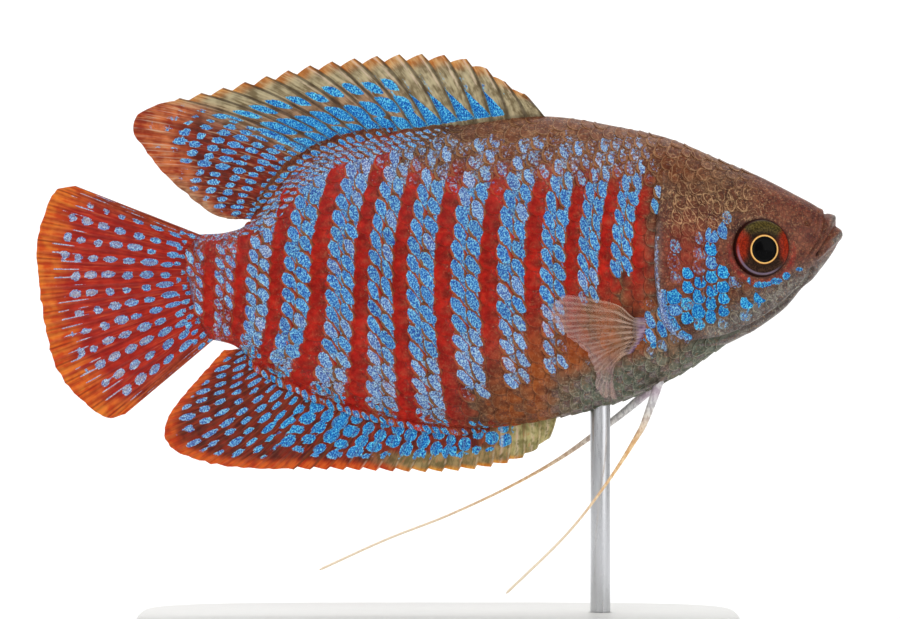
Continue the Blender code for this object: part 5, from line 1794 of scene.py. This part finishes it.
iris = recipe.mix(side_red, iris, red)
# Painted highlight: a pale lavender arc on the rim at the lower left
painted_rim_highlight = recipe.times(recipe.ramp(out, 2.42, 2.54), recipe.ramp(out, 2.72, 2.6))
low_left = recipe.ramp(recipe.plus(q, recipe.times(p, 0.5)), -0.6, -2.2)
iris = recipe.mix(recipe.times(recipe.times(painted_rim_highlight, low_left), 0.4), iris, tone(168, 148, 176))
iris = recipe.mix(recipe.ramp(reach, 2.1, 1.5, 0.0, 0.75), iris, tone(30, 20, 12))
inner = recipe.ramp(reach, RING_RADIUS, RING_RADIUS - 0.1)
gold = recipe.mix(inner, tone(140, 74, 22), tone(255, 200, 116))
iris = recipe.mix(recipe.ramp(reach, RING_RADIUS + 0.03, RING_RADIUS - 0.03), iris, gold)
iris = recipe.mix(recipe.ramp(reach, PUPIL_RADIUS + 0.03, PUPIL_RADIUS - 0.03), iris, tone(2, 2, 3))
iris = recipe.mix(recipe.ramp(out, 2.66, 2.78), iris, tone(40, 14, 10))
facing_out = recipe.split(recipe.attribute("zones")["Color"])[0]
iris = recipe.mix(recipe.ramp(facing_out, 0.5, 0.0), iris, tone(40, 24, 20))
feed(recipe, shader, Base_Color=iris, Normal=bump(recipe, speck, 0.15, 0.02))
for word, side in SIDES.items():
    finish_piece(make_eye(word, side), eye_finish, "eyes", "eye_" + word)

# %% [markdown]
# ## Stand
# The stand is a plain slab with a soft edge and one round steel rod that ends in the belly, ahead of
# the anal fin. The slab is a circle squared off, extruded and bevelled, with a drilled socket.

# %% Base
BASE_LENGTH, BASE_DEPTH, BASE_HEIGHT, BASE_EDGE = 60.0, 34.0, 3.0, 0.6
ROD_X, ROD_RADIUS, ROD_LOW, ROD_IN_BELLY, ROD_EDGE = 16.2, 1.0, 1.5, 0.7, 0.12
SOCKET_GAP, SOCKET_LOW, SOCKET_HIGH, ROUND_SIDES = 0.15, 1.2, 5.0, 64


def add_cylinder(name, radius, low, high):
    bpy.ops.object.select_all(action="DESELECT")
    bpy.ops.mesh.primitive_cylinder_add(vertices=ROUND_SIDES, radius=radius * MM,
                                        depth=(high - low) * MM,
                                        location=(ROD_X * MM, 0, (low + high) / 2 * MM))
    bpy.ops.object.transform_apply(location=True)
    made = bpy.context.object
    made.name = made.data.name = name
    return made


bpy.ops.object.select_all(action="DESELECT")
bpy.ops.mesh.primitive_circle_add(vertices=144, radius=1.0, fill_type="NGON")
base = bpy.context.object
base.name = base.data.name = "display_base"
for vertex in base.data.vertices:
    x, y, _ = vertex.co
    x, y = (math.copysign(abs(share) ** 0.55, share) for share in (x, y))
    vertex.co = (BASE_LENGTH / 2 * x * MM, BASE_DEPTH / 2 * y * MM, 0.0)
bpy.ops.object.mode_set(mode="EDIT")
bpy.ops.mesh.select_all(action="SELECT")
bpy.ops.mesh.extrude_region_move(TRANSFORM_OT_translate={"value": (0, 0, BASE_HEIGHT * MM)})
bpy.ops.mesh.bevel(offset=BASE_EDGE * MM, segments=5, affect="EDGES")
bpy.ops.object.mode_set(mode="OBJECT")
face_out(base)
socket = add_cylinder("socket", ROD_RADIUS + SOCKET_GAP, SOCKET_LOW, SOCKET_HIGH)
only(base)
hole = base.modifiers.new("hole", "BOOLEAN")
hole.operation, hole.object, hole.solver = "DIFFERENCE", socket, "EXACT"
bpy.ops.object.modifier_apply(modifier="hole")
bpy.data.objects.remove(socket)
base_finish, recipe, shader = new_finish("painted_board", 0.45)
grain = recipe.noise((1.2, 1.2, 1.2), 3.0, 0.6)
feed(recipe, shader, Base_Color=recipe.mix(grain, tone(214, 214, 211), tone(224, 224, 221)),
     Normal=bump(recipe, grain, 0.1, 0.02))
finish_piece(base, base_finish, "stand_base", "stand_base", degrees=35)

# %% Rod
rod = add_cylinder("display_rod", ROD_RADIUS, ROD_LOW, float(smooth(BELLY, ROD_X)) + ROD_IN_BELLY)
only(rod)
bpy.ops.object.mode_set(mode="EDIT")
bpy.ops.mesh.select_mode(type="FACE")
bpy.ops.mesh.select_all(action="SELECT")
bpy.ops.mesh.bevel(offset=ROD_EDGE * MM, segments=3, affect="EDGES", clamp_overlap=True)
bpy.ops.object.mode_set(mode="OBJECT")
rod_finish, recipe, shader = new_finish("satin_steel", 0.3, Metallic=1.0)
brushed = recipe.noise((6.0, 6.0, 0.4), 2.0, 0.6)
feed(recipe, shader, Base_Color=recipe.mix(brushed, tone(196, 197, 200), tone(214, 215, 218)),
     Roughness=recipe.ramp(brushed, 0.3, 0.7, 0.26, 0.36))
finish_piece(rod, rod_finish, "stand_rod", "stand_rod", degrees=35)
